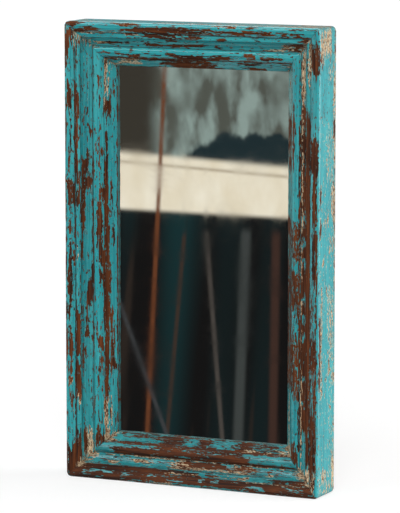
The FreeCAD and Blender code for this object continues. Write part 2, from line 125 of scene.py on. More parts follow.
# The four sides of the frame: which member and which sight moulding each has, and its own seed.
SIDES = {
    "left": ("left_stile", "left_sight_moulding", 11),
    "right": ("right_stile", "right_sight_moulding", 23),
    "top": ("top_rail", "top_sight_moulding", 37),
    "bottom": ("bottom_rail", "bottom_sight_moulding", 53),
}
# What a sight moulding adds to its side's seed.
SIGHT_SEED_STEP = 100
# How far apart the members lie in the paint's noise, in steps of their seeds, so that no two flake alike.
FLAKE_LAYER_STEP = 1.7
# Distances across the outer sides are squeezed by this in the paint's noise, which makes wider flakes there.
SIDE_FLAKE_SQUEEZE = 0.8

# Worn patches, listed for each strip of the moulding. Each gives its start and end in shares of the
# member (from the bottom or the left), its outer and inner edge in shares of the strip, how much paint is gone,
# and, where the pale undercoat shows, how much of it.
WORN_PATCHES = {
    "left_stile": {
        "side": (
            (0.0, 1.0, 0.0, 0.07, 0.5, 0.5), (0.0, 0.12, 0.0, 1.0, 0.3, 0.5), (0.3, 0.42, 0.5, 1.0, 0.28, 0.4),
            (0.62, 0.7, 0.2, 0.6, 0.3, 0.5), (0.9, 1.0, 0.1, 0.8, 0.34, 0.6),
        ),
        "nose": (
            (0.0, 0.08, 0.0, 1.0, 0.95), (0.145, 0.157, 0.3, 1.0, 0.7), (0.245, 0.4, 0.2, 1.0, 0.82),
            (0.44, 0.52, 0.0, 0.9, 0.8), (0.58, 0.67, 0.0, 0.8, 0.84), (0.73, 0.82, 0.6, 1.0, 0.85),
            (0.9, 0.99, 0.4, 1.0, 0.9),
        ),
        "band": (
            (0.0, 0.075, 0.0, 1.0, 0.97), (0.155, 0.19, 0.2, 0.7, 0.85), (0.205, 0.225, 0.15, 0.6, 0.92, 0.4),
            (0.27, 0.33, 0.2, 0.75, 0.97), (0.34, 0.39, 0.0, 0.35, 0.8), (0.4, 0.478, 0.08, 0.6, 0.92),
            (0.472, 0.487, 0.0, 1.0, 0.95), (0.48, 0.516, 0.28, 0.5, 0.88), (0.503, 0.516, 0.6, 1.0, 0.92),
            (0.535, 0.6, 0.3, 0.55, 0.74), (0.225, 0.27, 0.1, 0.5, 0.8), (0.67, 0.72, 0.1, 0.4, 0.72),
            (0.6, 0.628, 0.0, 0.4, 0.62), (0.605, 0.657, 0.3, 1.0, 0.94), (0.622, 0.65, 0.0, 1.0, 0.95),
            (0.662, 0.673, 0.0, 0.35, 0.85), (0.715, 0.76, 0.4, 0.62, 0.82), (0.76, 0.8, 0.44, 0.6, 0.7),
            (0.813, 0.85, 0.0, 0.6, 0.94), (0.85, 0.885, 0.0, 0.32, 0.9), (0.91, 0.975, 0.0, 0.38, 0.92),
            (0.953, 0.987, 0.0, 1.0, 0.97),
        ),
        "step": (
            (0.02, 0.115, 0.0, 1.0, 0.95), (0.165, 0.26, 0.0, 1.0, 0.92), (0.27, 0.37, 0.0, 1.0, 0.95),
            (0.38, 0.6, 0.0, 1.0, 0.62), (0.6, 0.86, 0.0, 1.0, 0.9), (0.905, 0.935, 0.0, 1.0, 0.8),
            (0.94, 0.977, -0.5, 1.0, 0.85, 0.9),
        ),
        "fillet": (
            (0.015, 0.098, 0.0, 1.0, 0.97), (0.02, 0.03, 0.0, 1.0, 0.9, 0.9), (0.098, 0.115, 0.0, 0.5, 0.9),
            (0.17, 0.25, 0.0, 1.0, 0.92), (0.172, 0.187, 0.2, 1.1, 0.9, 0.9), (0.272, 0.37, 0.0, 0.9, 0.94),
            (0.485, 0.5, 0.3, 0.6, 0.8, 0.5), (0.59, 0.645, 0.1, 0.9, 0.84), (0.64, 0.668, 0.2, 1.0, 0.94),
            (0.67, 0.78, 0.05, 0.52, 0.94), (0.688, 0.7, 0.0, 1.0, 0.93), (0.78, 0.845, 0.0, 0.75, 0.96),
            (0.845, 0.862, 0.0, 0.45, 0.9), (0.748, 0.757, 0.3, 1.2, 0.9), (0.905, 0.97, 0.1, 0.4, 0.74),
        ),
        "cove": (
            (0.055, 0.105, 0.25, 0.6, 0.92), (0.045, 0.102, 0.5, 0.95, 0.88, 1.0),
            (0.235, 0.262, 0.22, 0.36, 0.72), (0.27, 0.297, 0.15, 0.38, 0.92), (0.305, 0.332, 0.4, 0.7, 0.92),
            (0.33, 0.41, 0.48, 0.62, 0.86), (0.385, 0.432, 0.55, 0.92, 0.93), (0.358, 0.374, 0.0, 0.25, 0.82),
            (0.48, 0.523, 0.05, 0.25, 0.88), (0.54, 0.61, 0.1, 0.44, 0.86), (0.61, 0.697, 0.14, 0.5, 0.88),
            (0.628, 0.662, 0.55, 0.95, 0.8), (0.668, 0.712, 0.4, 0.72, 0.88), (0.64, 0.655, 0.3, 0.7, 0.86),
            (0.75, 0.766, 0.72, 1.0, 0.86), (0.135, 0.18, 0.93, 1.0, 0.7), (0.27, 0.34, 0.93, 1.0, 0.85),
            (0.41, 0.48, 0.86, 1.0, 0.95), (0.48, 0.61, 0.93, 1.0, 0.85), (0.66, 0.71, 0.92, 1.0, 0.85),
        ),
    },
    "left_sight_moulding": {
        "flank": (
            (0.135, 0.18, 0.0, 1.0, 0.7), (0.27, 0.34, 0.0, 1.0, 0.85), (0.41, 0.61, 0.0, 1.0, 0.92),
            (0.66, 0.71, 0.0, 1.0, 0.85),
        ),
        "bead": (
            (0.065, 0.1, 0.1, 0.85, 0.97), (0.135, 0.145, 0.28, 0.4, 0.75), (0.205, 0.23, 0.25, 0.4, 0.7),
            (0.235, 0.272, 0.45, 0.72, 0.76), (0.28, 0.312, 0.35, 0.62, 0.9), (0.288, 0.312, 0.55, 0.82, 0.92),
            (0.312, 0.352, 0.18, 0.36, 0.8), (0.435, 0.46, 0.48, 0.72, 0.85), (0.475, 0.53, 0.4, 0.76, 0.92),
            (0.505, 0.54, 0.18, 0.36, 0.76), (0.53, 0.602, 0.28, 0.72, 0.96), (0.6, 0.65, 0.4, 0.9, 0.72),
            (0.66, 0.78, 0.48, 0.57, 0.74), (0.68, 0.705, 0.2, 0.5, 0.58), (0.71, 0.732, 0.2, 1.0, 0.66),
            (0.82, 0.836, 0.45, 0.6, 0.75), (0.86, 0.89, 0.35, 0.6, 0.75), (0.17, 0.34, 0.9, 1.0, 0.9),
            (0.33, 0.5, 0.78, 1.0, 0.94), (0.5, 0.7, 0.9, 1.0, 0.9), (0.8, 0.84, 0.88, 1.0, 0.85),
        ),
        "splay": (
            (0.085, 0.1, -0.15, 0.3, 0.9, 1.0), (0.1, 0.18, -0.1, 0.25, 0.82, 0.8),
            (0.17, 0.345, 0.0, 0.27, 0.95), (0.345, 0.46, 0.0, 0.42, 0.97), (0.46, 0.56, 0.0, 0.36, 0.96),
            (0.56, 0.7, 0.0, 0.26, 0.94), (0.11, 0.17, 0.4, 0.55, 0.66, 0.6), (0.235, 0.315, 0.4, 0.75, 0.87),
            (0.315, 0.376, 0.42, 0.62, 0.92), (0.51, 0.56, 0.58, 0.75, 0.7), (0.575, 0.603, 0.3, 0.8, 0.58),
            (0.605, 0.65, 0.4, 0.56, 0.88), (0.72, 0.752, 0.0, 0.25, 0.95), (0.8, 0.836, 0.05, 0.5, 0.96),
            (0.815, 0.915, -0.04, 0.12, 0.92, 1.0), (0.845, 0.895, 0.14, 0.36, 0.36, 0.9),
            (0.83, 0.84, 0.6, 0.8, 0.86), (0.852, 0.87, 0.62, 0.8, 0.72),
        ),
        # Along the whole lip, its outer quarter is bare and dark.
        "lip": (
            (0.0, 1.0, -0.2, 0.25, 0.95), (0.0, 1.0, 0.3, 1.0, 0.15), (0.155, 0.182, -0.2, 1.0, 0.95),
        ),
    },
    "right_stile": {
        "side": (
            (0.0, 0.8, 0.0, 1.0, 0.13, 0.5), (0.0, 1.0, 0.0, 0.07, 0.7, 0.35),
            (0.02, 0.18, 0.0, 0.17, 0.72, 0.95), (0.08, 0.42, 0.0, 0.3, 0.36, 0.6),
            (0.6, 0.76, 0.04, 0.28, 0.62, 0.5), (0.7, 0.755, 0.22, 0.56, 0.54, 0.6),
            (0.76, 0.93, 0.0, 0.16, 0.62, 0.5), (0.12, 0.3, 0.05, 0.4, 0.22, 0.5),
            (0.185, 0.197, 0.22, 0.34, 0.84, 0.45), (0.245, 0.262, 0.0, 0.2, 0.78, 0.5),
            (0.27, 0.297, 0.3, 0.45, 0.74, 0.5), (0.255, 0.266, 0.56, 0.68, 0.78, 0.6),
            (0.0, 0.06, 0.2, 1.0, 0.34, 0.8), (0.038, 0.056, 0.55, 0.85, 0.76, 1.0),
            (0.23, 0.39, 0.9, 1.02, 0.86), (0.2, 0.46, 0.8, 0.93, 0.56, 0.5), (0.31, 0.44, 0.1, 0.5, 0.42, 0.6),
            (0.438, 0.452, 0.46, 0.58, 0.74, 0.6), (0.494, 0.508, 0.7, 0.86, 0.9, 1.0),
            (0.52, 0.556, 0.12, 0.4, 0.46, 0.4), (0.58, 0.6, 0.4, 0.7, 0.46, 0.4),
            (0.57, 0.65, 0.0, 0.12, 0.76, 0.55), (0.56, 0.6, 0.9, 1.02, 0.86), (0.62, 0.66, 0.9, 1.02, 0.82),
            (0.67, 0.8, 0.1, 0.6, 0.34, 0.4), (0.765, 0.8, 0.0, 0.14, 0.84),
            (0.885, 0.915, 0.12, 0.5, 0.42, 0.5), (0.932, 0.996, 0.3, 1.0, 0.64, 0.75),
            (0.918, 0.945, 0.85, 1.02, 0.86, 0.3),
        ),
        "nose": (
            (0.03, 0.5, 0.72, 1.0, 0.78), (0.46, 0.57, 0.62, 1.0, 0.93), (0.58, 0.68, 0.7, 1.0, 0.84),
            (0.685, 0.768, 0.5, 1.0, 0.95), (0.9, 0.962, 0.3, 1.0, 0.95),
        ),
        "band": (
            (0.0, 0.05, 0.0, 1.0, 0.75, 0.3), (0.05, 0.185, 0.0, 1.0, 0.93), (0.185, 0.27, 0.0, 0.35, 0.8),
            (0.185, 0.27, 0.35, 1.0, 0.52), (0.27, 0.346, 0.0, 1.0, 0.9), (0.33, 0.46, 0.1, 1.0, 0.5),
            (0.46, 0.565, 0.0, 0.55, 0.95), (0.565, 0.58, 0.3, 0.8, 0.55), (0.58, 0.685, 0.0, 0.55, 0.93),
            (0.688, 0.768, 0.0, 0.85, 0.96), (0.905, 0.962, 0.0, 0.9, 0.96),
        ),
        "step": (
            (0.03, 0.82, 0.0, 1.0, 0.88), (0.88, 0.97, -0.4, 1.0, 0.86, 0.9),
        ),
        "fillet": (
            (0.07, 0.81, 0.1, 1.0, 1.05), (0.1, 0.3, 0.0, 0.4, 0.72), (0.46, 0.56, 0.0, 0.4, 0.78),
            (0.03, 0.062, 0.0, 1.0, 0.86, 0.9), (0.88, 0.97, 0.0, 0.6, 0.8, 0.8),
        ),
        "cove": (
            (0.135, 0.8, 0.0, 1.0, 0.99), (0.188, 0.2, 0.4, 0.9, 0.45), (0.238, 0.252, 0.4, 1.0, 0.45),
            (0.335, 0.35, 0.4, 1.0, 0.45), (0.37, 0.39, 0.5, 1.0, 0.42), (0.41, 0.43, 0.5, 0.9, 0.45),
            (0.49, 0.512, 0.45, 1.0, 0.42), (0.53, 0.56, 0.5, 1.0, 0.45), (0.58, 0.61, 0.4, 0.9, 0.42),
            (0.69, 0.72, 0.3, 1.0, 0.34), (0.74, 0.8, 0.1, 1.0, 0.6), (0.065, 0.26, 0.86, 0.97, 0.9, 0.8),
            (0.31, 0.36, 0.88, 0.97, 0.9, 0.8), (0.395, 0.41, 0.82, 0.97, 0.86, 1.0),
            (0.46, 0.54, 0.88, 0.97, 0.9, 0.8), (0.575, 0.59, 0.84, 0.97, 0.86, 1.0),
            (0.61, 0.84, 0.58, 0.98, 0.86), (0.6, 0.85, 0.84, 0.93, 0.95, 1.0),
            (0.84, 0.94, 0.6, 0.97, 0.84, 0.9),
        ),
    },
    "right_sight_moulding": {
        "flank": (
            (0.1, 0.8, 0.0, 1.0, 0.72),
        ),
        "bead": (
            (0.06, 0.105, 0.0, 0.8, 0.9), (0.215, 0.35, 0.0, 1.0, 0.72), (0.35, 0.4, 0.0, 1.0, 0.42),
            (0.4, 0.48, 0.0, 1.0, 0.8), (0.5, 0.585, 0.0, 1.0, 0.7), (0.59, 0.92, 0.0, 1.0, 0.1),
            (0.7, 0.83, 0.38, 0.6, 0.84), (0.775, 0.79, 0.2, 0.4, 0.8), (0.825, 0.835, 0.3, 0.5, 0.75),
            (0.905, 0.915, 0.3, 0.5, 0.8),
        ),
        "splay": (
            (0.085, 0.1, 0.0, 1.0, 0.8, 0.8), (0.1, 0.23, 0.35, 0.6, 0.62, 0.7), (0.23, 0.47, 0.0, 1.0, 0.8),
            (0.26, 0.44, 0.4, 0.52, 0.3), (0.47, 0.555, 0.0, 1.0, 0.58), (0.555, 0.6, 0.0, 1.0, 0.86),
            (0.6, 0.69, 0.0, 1.0, 0.16), (0.695, 0.73, 0.0, 0.8, 0.9), (0.73, 0.82, 0.0, 1.0, 0.76),
            (0.82, 0.92, 0.0, 1.0, 0.14), (0.871, 0.882, 0.3, 0.6, 0.86, 0.5),
        ),
        "lip": (
            (0.0, 1.0, 0.0, 1.0, 0.8, 0.7),
        ),
    },
    "top_rail": {
        "side": (
            (0.0, 1.0, 0.0, 0.06, 0.5, 0.5), (0.0, 0.1, 0.2, 1.0, 0.34, 0.4), (0.35, 0.6, 0.5, 1.0, 0.46, 0.3),
            (0.55, 0.88, 0.2, 1.0, 0.4, 0.4), (0.86, 1.0, 0.1, 1.0, 0.56, 0.5),
        ),
        "nose": (
            (0.01, 0.07, 0.0, 1.0, 0.92), (0.215, 0.28, 0.3, 1.0, 0.86, 0.2),
            (0.6, 0.68, 0.35, 0.75, 0.86, 0.4), (0.72, 0.745, 0.5, 1.0, 0.76),
        ),
        "band": (
            (0.01, 0.037, 0.0, 1.0, 0.93), (0.052, 0.08, 0.5, 1.0, 0.9), (0.075, 0.135, 0.2, 0.85, 0.88),
            (0.22, 0.262, 0.45, 0.78, 0.85), (0.27, 0.35, 0.1, 0.85, 0.88), (0.345, 0.475, 0.0, 0.88, 0.97),
            (0.47, 0.575, 0.08, 0.85, 0.84), (0.525, 0.585, 0.0, 0.36, 0.9), (0.59, 0.7, 0.3, 0.72, 0.92),
            (0.65, 0.7, 0.5, 0.82, 0.9), (0.7, 0.747, 0.2, 0.52, 0.88), (0.75, 0.83, 0.25, 0.8, 0.9),
            (0.85, 0.866, 0.2, 0.8, 0.75), (0.895, 0.935, 0.45, 0.92, 0.88),
        ),
        "step": (
            (0.05, 0.26, -0.3, 1.0, 0.84, 0.8), (0.24, 0.72, 0.0, 1.0, 0.93),
        ),
        "fillet": (
            (0.05, 0.1, 0.0, 0.4, 0.82, 0.8), (0.23, 0.31, 0.0, 0.36, 0.86, 0.3), (0.3, 0.4, 0.1, 0.85, 0.92),
            (0.395, 0.45, 0.0, 0.7, 0.95), (0.46, 0.545, 0.2, 0.75, 0.88), (0.598, 0.625, 0.3, 1.0, 0.92),
            (0.742, 0.76, 0.0, 0.5, 0.8), (0.92, 0.95, 0.0, 1.0, 0.9),
        ),
        "cove": (
            (0.105, 0.19, 0.6, 0.76, 0.8, 0.55), (0.1, 0.125, 0.62, 0.8, 0.88, 1.0),
            (0.15, 0.225, 0.62, 0.78, 0.88), (0.31, 0.46, 0.68, 0.86, 0.84), (0.44, 0.555, 0.64, 0.84, 0.88),
            (0.4, 0.435, 0.0, 0.5, 0.82), (0.598, 0.622, 0.0, 0.4, 0.88), (0.58, 0.602, 0.68, 0.86, 0.84),
            (0.78, 0.862, 0.84, 0.98, 0.9, 1.0), (0.838, 0.872, 0.4, 0.8, 0.74, 0.5),
            (0.87, 0.935, 0.2, 0.95, 0.84),
        ),
    },
    "top_sight_moulding": {
        "bead": (
            (0.145, 0.157, 0.25, 0.4, 0.8), (0.18, 0.215, 0.22, 0.5, 0.78), (0.235, 0.255, 0.02, 0.2, 0.84),
            (0.235, 0.287, 0.4, 0.72, 0.88), (0.32, 0.352, 0.28, 0.5, 0.72), (0.39, 0.432, 0.18, 0.45, 0.78),
            (0.41, 0.5, 0.4, 0.85, 0.78), (0.48, 0.545, 0.3, 0.8, 0.78), (0.562, 0.638, 0.3, 0.66, 0.92),
            (0.545, 0.6, 0.6, 1.0, 0.78), (0.69, 0.706, 0.08, 0.34, 0.92), (0.704, 0.732, 0.1, 0.55, 0.95),
            (0.77, 0.822, 0.3, 0.58, 0.8), (0.14, 0.75, 0.74, 1.0, 0.92), (0.75, 0.865, 0.8, 1.0, 0.82),
        ),
        "splay": (
            (0.14, 0.195, -0.05, 0.2, 0.8), (0.19, 0.285, 0.0, 0.2, 0.9, 0.75),
            (0.18, 0.27, 0.3, 0.72, 0.74, 0.9), (0.285, 0.42, 0.0, 0.2, 0.94), (0.35, 0.42, 0.36, 0.72, 0.88),
            (0.4, 0.475, 0.0, 0.9, 0.95), (0.475, 0.56, 0.05, 0.8, 0.84), (0.4, 0.575, 0.66, 1.0, 0.94),
            (0.66, 0.737, 0.1, 0.42, 0.92), (0.68, 0.747, 0.64, 0.96, 0.92), (0.832, 0.85, 0.1, 0.36, 0.92),
        ),
    },
    "bottom_rail": {
        "side": (
            (0.0, 1.0, 0.0, 1.0, 0.55, 0.2),
        ),
        "nose": (
            (0.0, 0.22, 0.0, 1.0, 0.9), (0.22, 0.37, 0.0, 1.0, 0.58), (0.37, 0.43, 0.2, 1.0, 0.74, 0.6),
            (0.44, 0.55, 0.0, 1.0, 0.28), (0.55, 0.76, 0.0, 1.0, 0.42), (0.76, 1.0, 0.0, 1.0, 0.88),
        ),
        "band": (
            (0.0, 1.0, 0.0, 1.0, 0.96), (0.065, 0.09, 0.2, 0.8, 0.35), (0.09, 0.19, 0.6, 0.92, 0.34),
            (0.22, 0.25, 0.2, 0.8, 0.4), (0.3, 0.44, 0.62, 0.88, 0.52), (0.43, 0.472, 0.08, 0.42, 0.22),
            (0.53, 0.55, 0.3, 0.9, 0.36), (0.57, 0.61, 0.55, 0.9, 0.4), (0.74, 0.777, 0.0, 0.55, 0.22),
            (0.85, 0.945, 0.15, 0.85, 0.62),
        ),
        "step": (
            (0.03, 0.73, 0.0, 1.0, 0.92), (0.73, 0.94, -0.3, 1.0, 0.86, 0.7),
        ),
        "fillet": (
            (0.02, 0.56, 0.0, 1.0, 0.95), (0.038, 0.062, 0.0, 1.0, 0.9, 1.0),
            (0.41, 0.535, 0.2, 0.5, 0.84, 0.9), (0.53, 0.556, 0.0, 1.0, 0.2), (0.556, 0.6, 0.1, 0.9, 0.76),
            (0.6, 0.685, 0.2, 1.0, 0.3, 0.5), (0.685, 0.73, 0.1, 0.9, 0.74, 0.4), (0.73, 0.805, 0.0, 1.0, 0.2),
            (0.82, 0.96, 0.0, 1.0, 0.84),
        ),
        "cove": (
            (0.08, 0.4, 0.0, 1.0, 0.26), (0.085, 0.1, 0.3, 0.95, 0.82, 1.0),
            (0.164, 0.187, 0.15, 0.45, 0.88, 1.0), (0.25, 0.33, 0.54, 0.72, 0.84, 1.0),
            (0.303, 0.318, 0.28, 0.42, 0.82, 1.0), (0.405, 0.53, 0.2, 0.86, 0.86, 0.55),
            (0.477, 0.63, 0.5, 0.88, 0.95), (0.5, 0.75, 0.28, 0.5, 0.74, 0.8), (0.48, 0.7, 0.0, 0.24, 0.4),
            (0.63, 0.745, 0.45, 0.9, 0.76, 0.3), (0.745, 0.91, 0.0, 0.85, 0.3),
            (0.79, 0.822, 0.2, 0.5, 0.8, 1.0), (0.796, 0.806, 0.4, 0.7, 0.88),
            (0.91, 0.93, 0.2, 0.95, 0.82, 1.0), (0.12, 0.52, 0.92, 1.0, 0.82, 0.8),
            (0.52, 0.88, 0.92, 1.0, 0.86, 0.4),
        ),
    },
    "bottom_sight_moulding": {
        "flank": (
            (0.17, 0.88, 0.0, 1.0, 0.92),
        ),
        "bead": (
            (0.17, 0.72, 0.0, 0.55, 1.0), (0.2, 0.7, 0.5, 0.85, 0.72), (0.2, 0.33, 0.45, 0.8, 0.38),
            (0.43, 0.482, 0.0, 0.22, 0.3), (0.52, 0.6, 0.2, 0.5, 0.62), (0.12, 0.86, 0.82, 1.0, 0.9),
            (0.72, 0.875, 0.1, 0.8, 0.24),
        ),
        "splay": (
            (0.12, 0.86, 0.0, 0.16, 0.86), (0.13, 0.157, 0.0, 0.5, 0.88, 1.0), (0.16, 0.34, 0.16, 0.5, 0.2),
            (0.2, 0.34, 0.5, 0.92, 0.56), (0.34, 0.445, 0.1, 1.0, 0.84), (0.445, 0.493, 0.15, 0.85, 0.36),
            (0.5, 0.552, 0.0, 1.0, 0.92), (0.552, 0.65, 0.1, 0.85, 0.34), (0.655, 0.72, 0.1, 1.0, 0.9),
            (0.685, 0.722, 0.02, 0.32, 0.92, 1.0), (0.72, 0.83, 0.2, 0.92, 0.62),
            (0.764, 0.776, 0.02, 0.2, 0.88, 1.0), (0.82, 0.862, 0.0, 0.4, 0.84, 0.9),
            (0.2, 0.8, 0.88, 1.0, 0.62),
        ),
    },
}

# Wear that the whole of a strip has before its patches, and how uneven it is.
STRIP_WEAR = {"side": 0.10, "nose": 0.16, "band": 0.12, "step": 0.34, "fillet": 0.12, "cove": 0.10,
              "flank": 0.16, "bead": 0.13, "splay": 0.10, "lip": 0.30}
REAR_WEAR = 0.10
EVEN_WEAR = 0.05
UNEVEN_WEAR = 0.10
# Strips whose outer edge is a proud arris, how worn that is, and the noise above which it wears.
ARRIS_STRIPS = ("step", "cove", "splay", "lip")
ARRIS_WEAR = 0.38
ARRIS_WEAR_LEVEL = -0.35
# Undercoat: the share that shows in any bare place. Beside a mitre: the strips that show it, the paint lost
# there, its reach in metres, and the mean and the change of that reach, in shares of it.
BASE_CREAM = 0.06
CORNER_STRIPS = ("step", "fillet", "cove", "flank", "splay")
CORNER_WEAR = 0.88
CORNER_CREAM_REACH = 0.008
CREAM_REACH_MEAN = 0.65
CREAM_REACH_CHANGE = 0.5
# How much undercoat shows at the start and the end mitre of each side, how sooty the side is, and how much dust
# and painted shade its outer face holds.
SIDE_DIRT_AND_SHADE = {"left": (0.95, 0.70, 0.08, 0.0), "right": (0.80, 0.45, 0.18, 0.0), "top": (0.55, 0.45, 0.0, 0.5),
             "bottom": (0.95, 0.80, 0.50, 0.0)}
# Dust and painted shade that a hollow strip holds all along.
HOLLOW_DUST_AND_SHADE = {"fillet": 0.10, "cove": 0.25}
# Dirt and painted shade in a hollow, and painted shadow in the shelter of an edge: how far inside the strip's
# outer edge, its reach and amount.
HOLLOW_DIRT_AND_SHADE = {"fillet": (0.0, 0.0022, 0.75), "cove": (0.0018, 0.0013, 0.74), "flank": (0.0, 0.0008, 0.5),
               "seat_wall": (0.0, 0.0022, 0.75), "lip_back": (0.0, 0.0022, 0.75)}
# Dirt in the mitres themselves, and in the corners beside them, with its reach in metres.
MITRE_DIRT = 0.5
CORNER_DIRT = 0.42
CORNER_DIRT_REACH = 0.009
# How far the paint spills onto the back, in metres.
OVERSPILL_REACH = 0.016

# Bake map: share of the width that rear strips get, the margin, height and pitch of the two strips that a
# member is unrolled into, and the size and place of its caps.
REAR_MAP_SHARE = 0.3
MAP_MARGIN = 0.01
MAP_STRIP_HEIGHT = 0.47
MAP_STRIP_PITCH = 0.49
MAP_CAP_SIZE = 0.02
MAP_CAP_PLACE = (0.02, 0.975)

# Painted wood: roughness of glossy and rubbed paint, of smooth and open grain, of the chalky sides and of the
# raw back, and how much pale painted sheen the sides' colour holds.
PAINT_ROUGHNESS = (0.26, 0.42)
GRAIN_ROUGHNESS = (0.62, 0.86)
CHALKY_ROUGHNESS = 0.78
RAW_ROUGHNESS = 0.82
SHEEN_VEIL_SHARE = 0.038
# Heights of the layers, in shares of the paint's thickness.
PAINT_HEIGHT = 0.90
BRUSH_HEIGHT = 0.10
UNDERCOAT_HEIGHT = 0.55
GRAIN_HEIGHT = 0.30
RAW_GRAIN_HEIGHT = 0.5
# The dark edge of a bare place, painted shadow of the paint's edge and dirt: how deep into it, and how dark.
SHADOW_RIM_DEPTH = 0.17
SHADOW_RIM_DARKNESS = 0.95
# Gloss of the paint that is left.
GLOSS_WEIGHT = 0.8
GLOSS_ROUGHNESS = 0.27
GLOSS_IOR = 1.6
PAINT_SPECULAR = 0.2
# Grain width of the raw back, in metres.
RAW_GRAIN_WIDTH = 0.003
# Undercoat in a bare place: the depth that it reaches, and how far it fades before and after that.
UNDERCOAT_REACH = 0.9
UNDERCOAT_FADE = (0.03, 0.02)
# Pores of the grain: how dark, and how deep.
PORE_SHADE = 0.7
PORE_DEPTH = 0.5
# How far a shift moves a noise along each axis.
NOISE_SHIFT = (1.0, 0.7, 1.3)

# Dull film that wiping leaves on the glass, and how much of it.
GLASS_FILM = (0.62, 0.64, 0.62, 1.0)
GLASS_FILM_SHARE = 0.12
# Plated metal: how fine its scratches are along each axis, how much rust its dull colour has, how much of that
# shows, and how much rougher rust is.
SCRATCH_SCALE = (2600.0, 2600.0, 160.0)
DULL_RUST = 0.45
DULL_SHARE = 0.5
RUST_ROUGHNESS = 0.4
# How many times as large the clouds in felt, card and rubber are as the fibres.
FIBRE_CLOUDS = 14.0

# Stage: reach of the floor, and place and edges (left, right, low, high) of the sheet that only reflections
# show, in metres.
FLOOR_REACH = 60.0
SCREEN_PLACE = (0.0, -3.0, 0.0)
SCREEN_EDGES = (-8.0, 20.0, -8.0, 5.0)
SCREEN_HIDDEN_RAYS = ("camera", "diffuse", "transmission", "shadow", "volume_scatter")
# Lamps: the setting that holds the strength, the tilt and the turn, and the spread, in degrees.
LAMPS = {
    "key_light": ("key_strength", 53.0, 24.0, 30.0),
    "side_light": ("side_strength", 75.5, 114.5, 50.0),
    "back_light": ("back_strength", 84.0, 200.0, 60.0),
    "crest_light": ("crest_strength", 52.5, -31.5, 24.0),
}
# The floor's faint second tone, its tone for all but the camera, and the white that the camera sees mixed
# into it.
FLOOR_CLOUD = (0.92, 0.92, 0.92, 1.0)
FLOOR_CLOUD_SHARE = 0.02
FLOOR_BOUNCE = (0.60, 0.60, 0.60, 1.0)
FLOOR_WHITE = 1.09
FLOOR_WHITE_SHARE = 0.6

# Tones on the sheet.
SHEET_TONES = {
    "black": (0.009, 0.0085, 0.0085, 1.0),
    "deep": (0.010, 0.033, 0.036, 1.0),
    "dusk": (0.030, 0.022, 0.018, 1.0),
    "grey": (0.095, 0.100, 0.084, 1.0),
    "mist": (0.30, 0.38, 0.35, 1.0),
    "brown": (0.050, 0.044, 0.034, 1.0),
    "edge": (0.048, 0.042, 0.033, 1.0),
    "mound": (0.016, 0.030, 0.035, 1.0),
    "cream": (0.88, 0.76, 0.57, 1.0),
    "ivory": (1.0, 0.91, 0.75, 1.0),
    "line": (0.36, 0.28, 0.19, 1.0),
}
# Places on the sheet, in metres: a pale band that slopes, a mound on it and a dim left edge.
BAND_PIVOT = -1.40
BAND_SLOPE = 0.039
BAND_FOOT = (0.026, 0.042)
BAND_TOP = (0.167, 0.186)
BAND_LINE = (0.143, 0.151, 0.159)
MOUND_CENTRE = (-1.26, 0.15)
MOUND_REACH = (0.20, 0.10)
DIM_EDGE = (-1.50, -1.57)
# How dark the band's line is, how the noises on the sheet lean and stretch, and how its mottling is drawn out.
BAND_LINE_SHADE = 0.7
SHEET_LEAN = -0.07
SHEET_STRETCH = 0.06
SHEET_MOTTLE = (1.8, 0.7, 1.0)
# Soft streaks on the sheet: place and lean, half width, lowest and highest point, colour. Then how soft their
# sides are, in shares of the half width, and how far their ends fade.
SHEET_STREAKS = (
    (-1.5335, 0.055, 0.0056, -0.75, 0.60, (0.170, 0.056, 0.024, 1.0)),
    (-1.452, 0.095, 0.0052, -0.75, -0.01, (0.052, 0.034, 0.026, 1.0)),
    (-1.733, -0.400, 0.0055, -0.75, -0.14, (0.055, 0.057, 0.060, 1.0)),
    (-1.392, -0.085, 0.0056, -0.75, 0.0, (0.080, 0.068, 0.060, 1.0)),
    (-1.276, 0.040, 0.0130, -0.75, 0.01, (0.056, 0.062, 0.060, 1.0)),
    (-1.190, 0.015, 0.0110, -0.75, 0.01, (0.058, 0.030, 0.023, 1.0)),
)
STREAK_SOFT_EDGE = (1.6, 0.5)
STREAK_END_FADE = 0.03

# What properties of one kind have in common.
LENGTH = {"unit": "LENGTH"}
ANGLE = {"subtype": "ANGLE"}
COLOUR = {"subtype": "COLOR", "size": 4}
STRENGTH = {"min": 0.0}


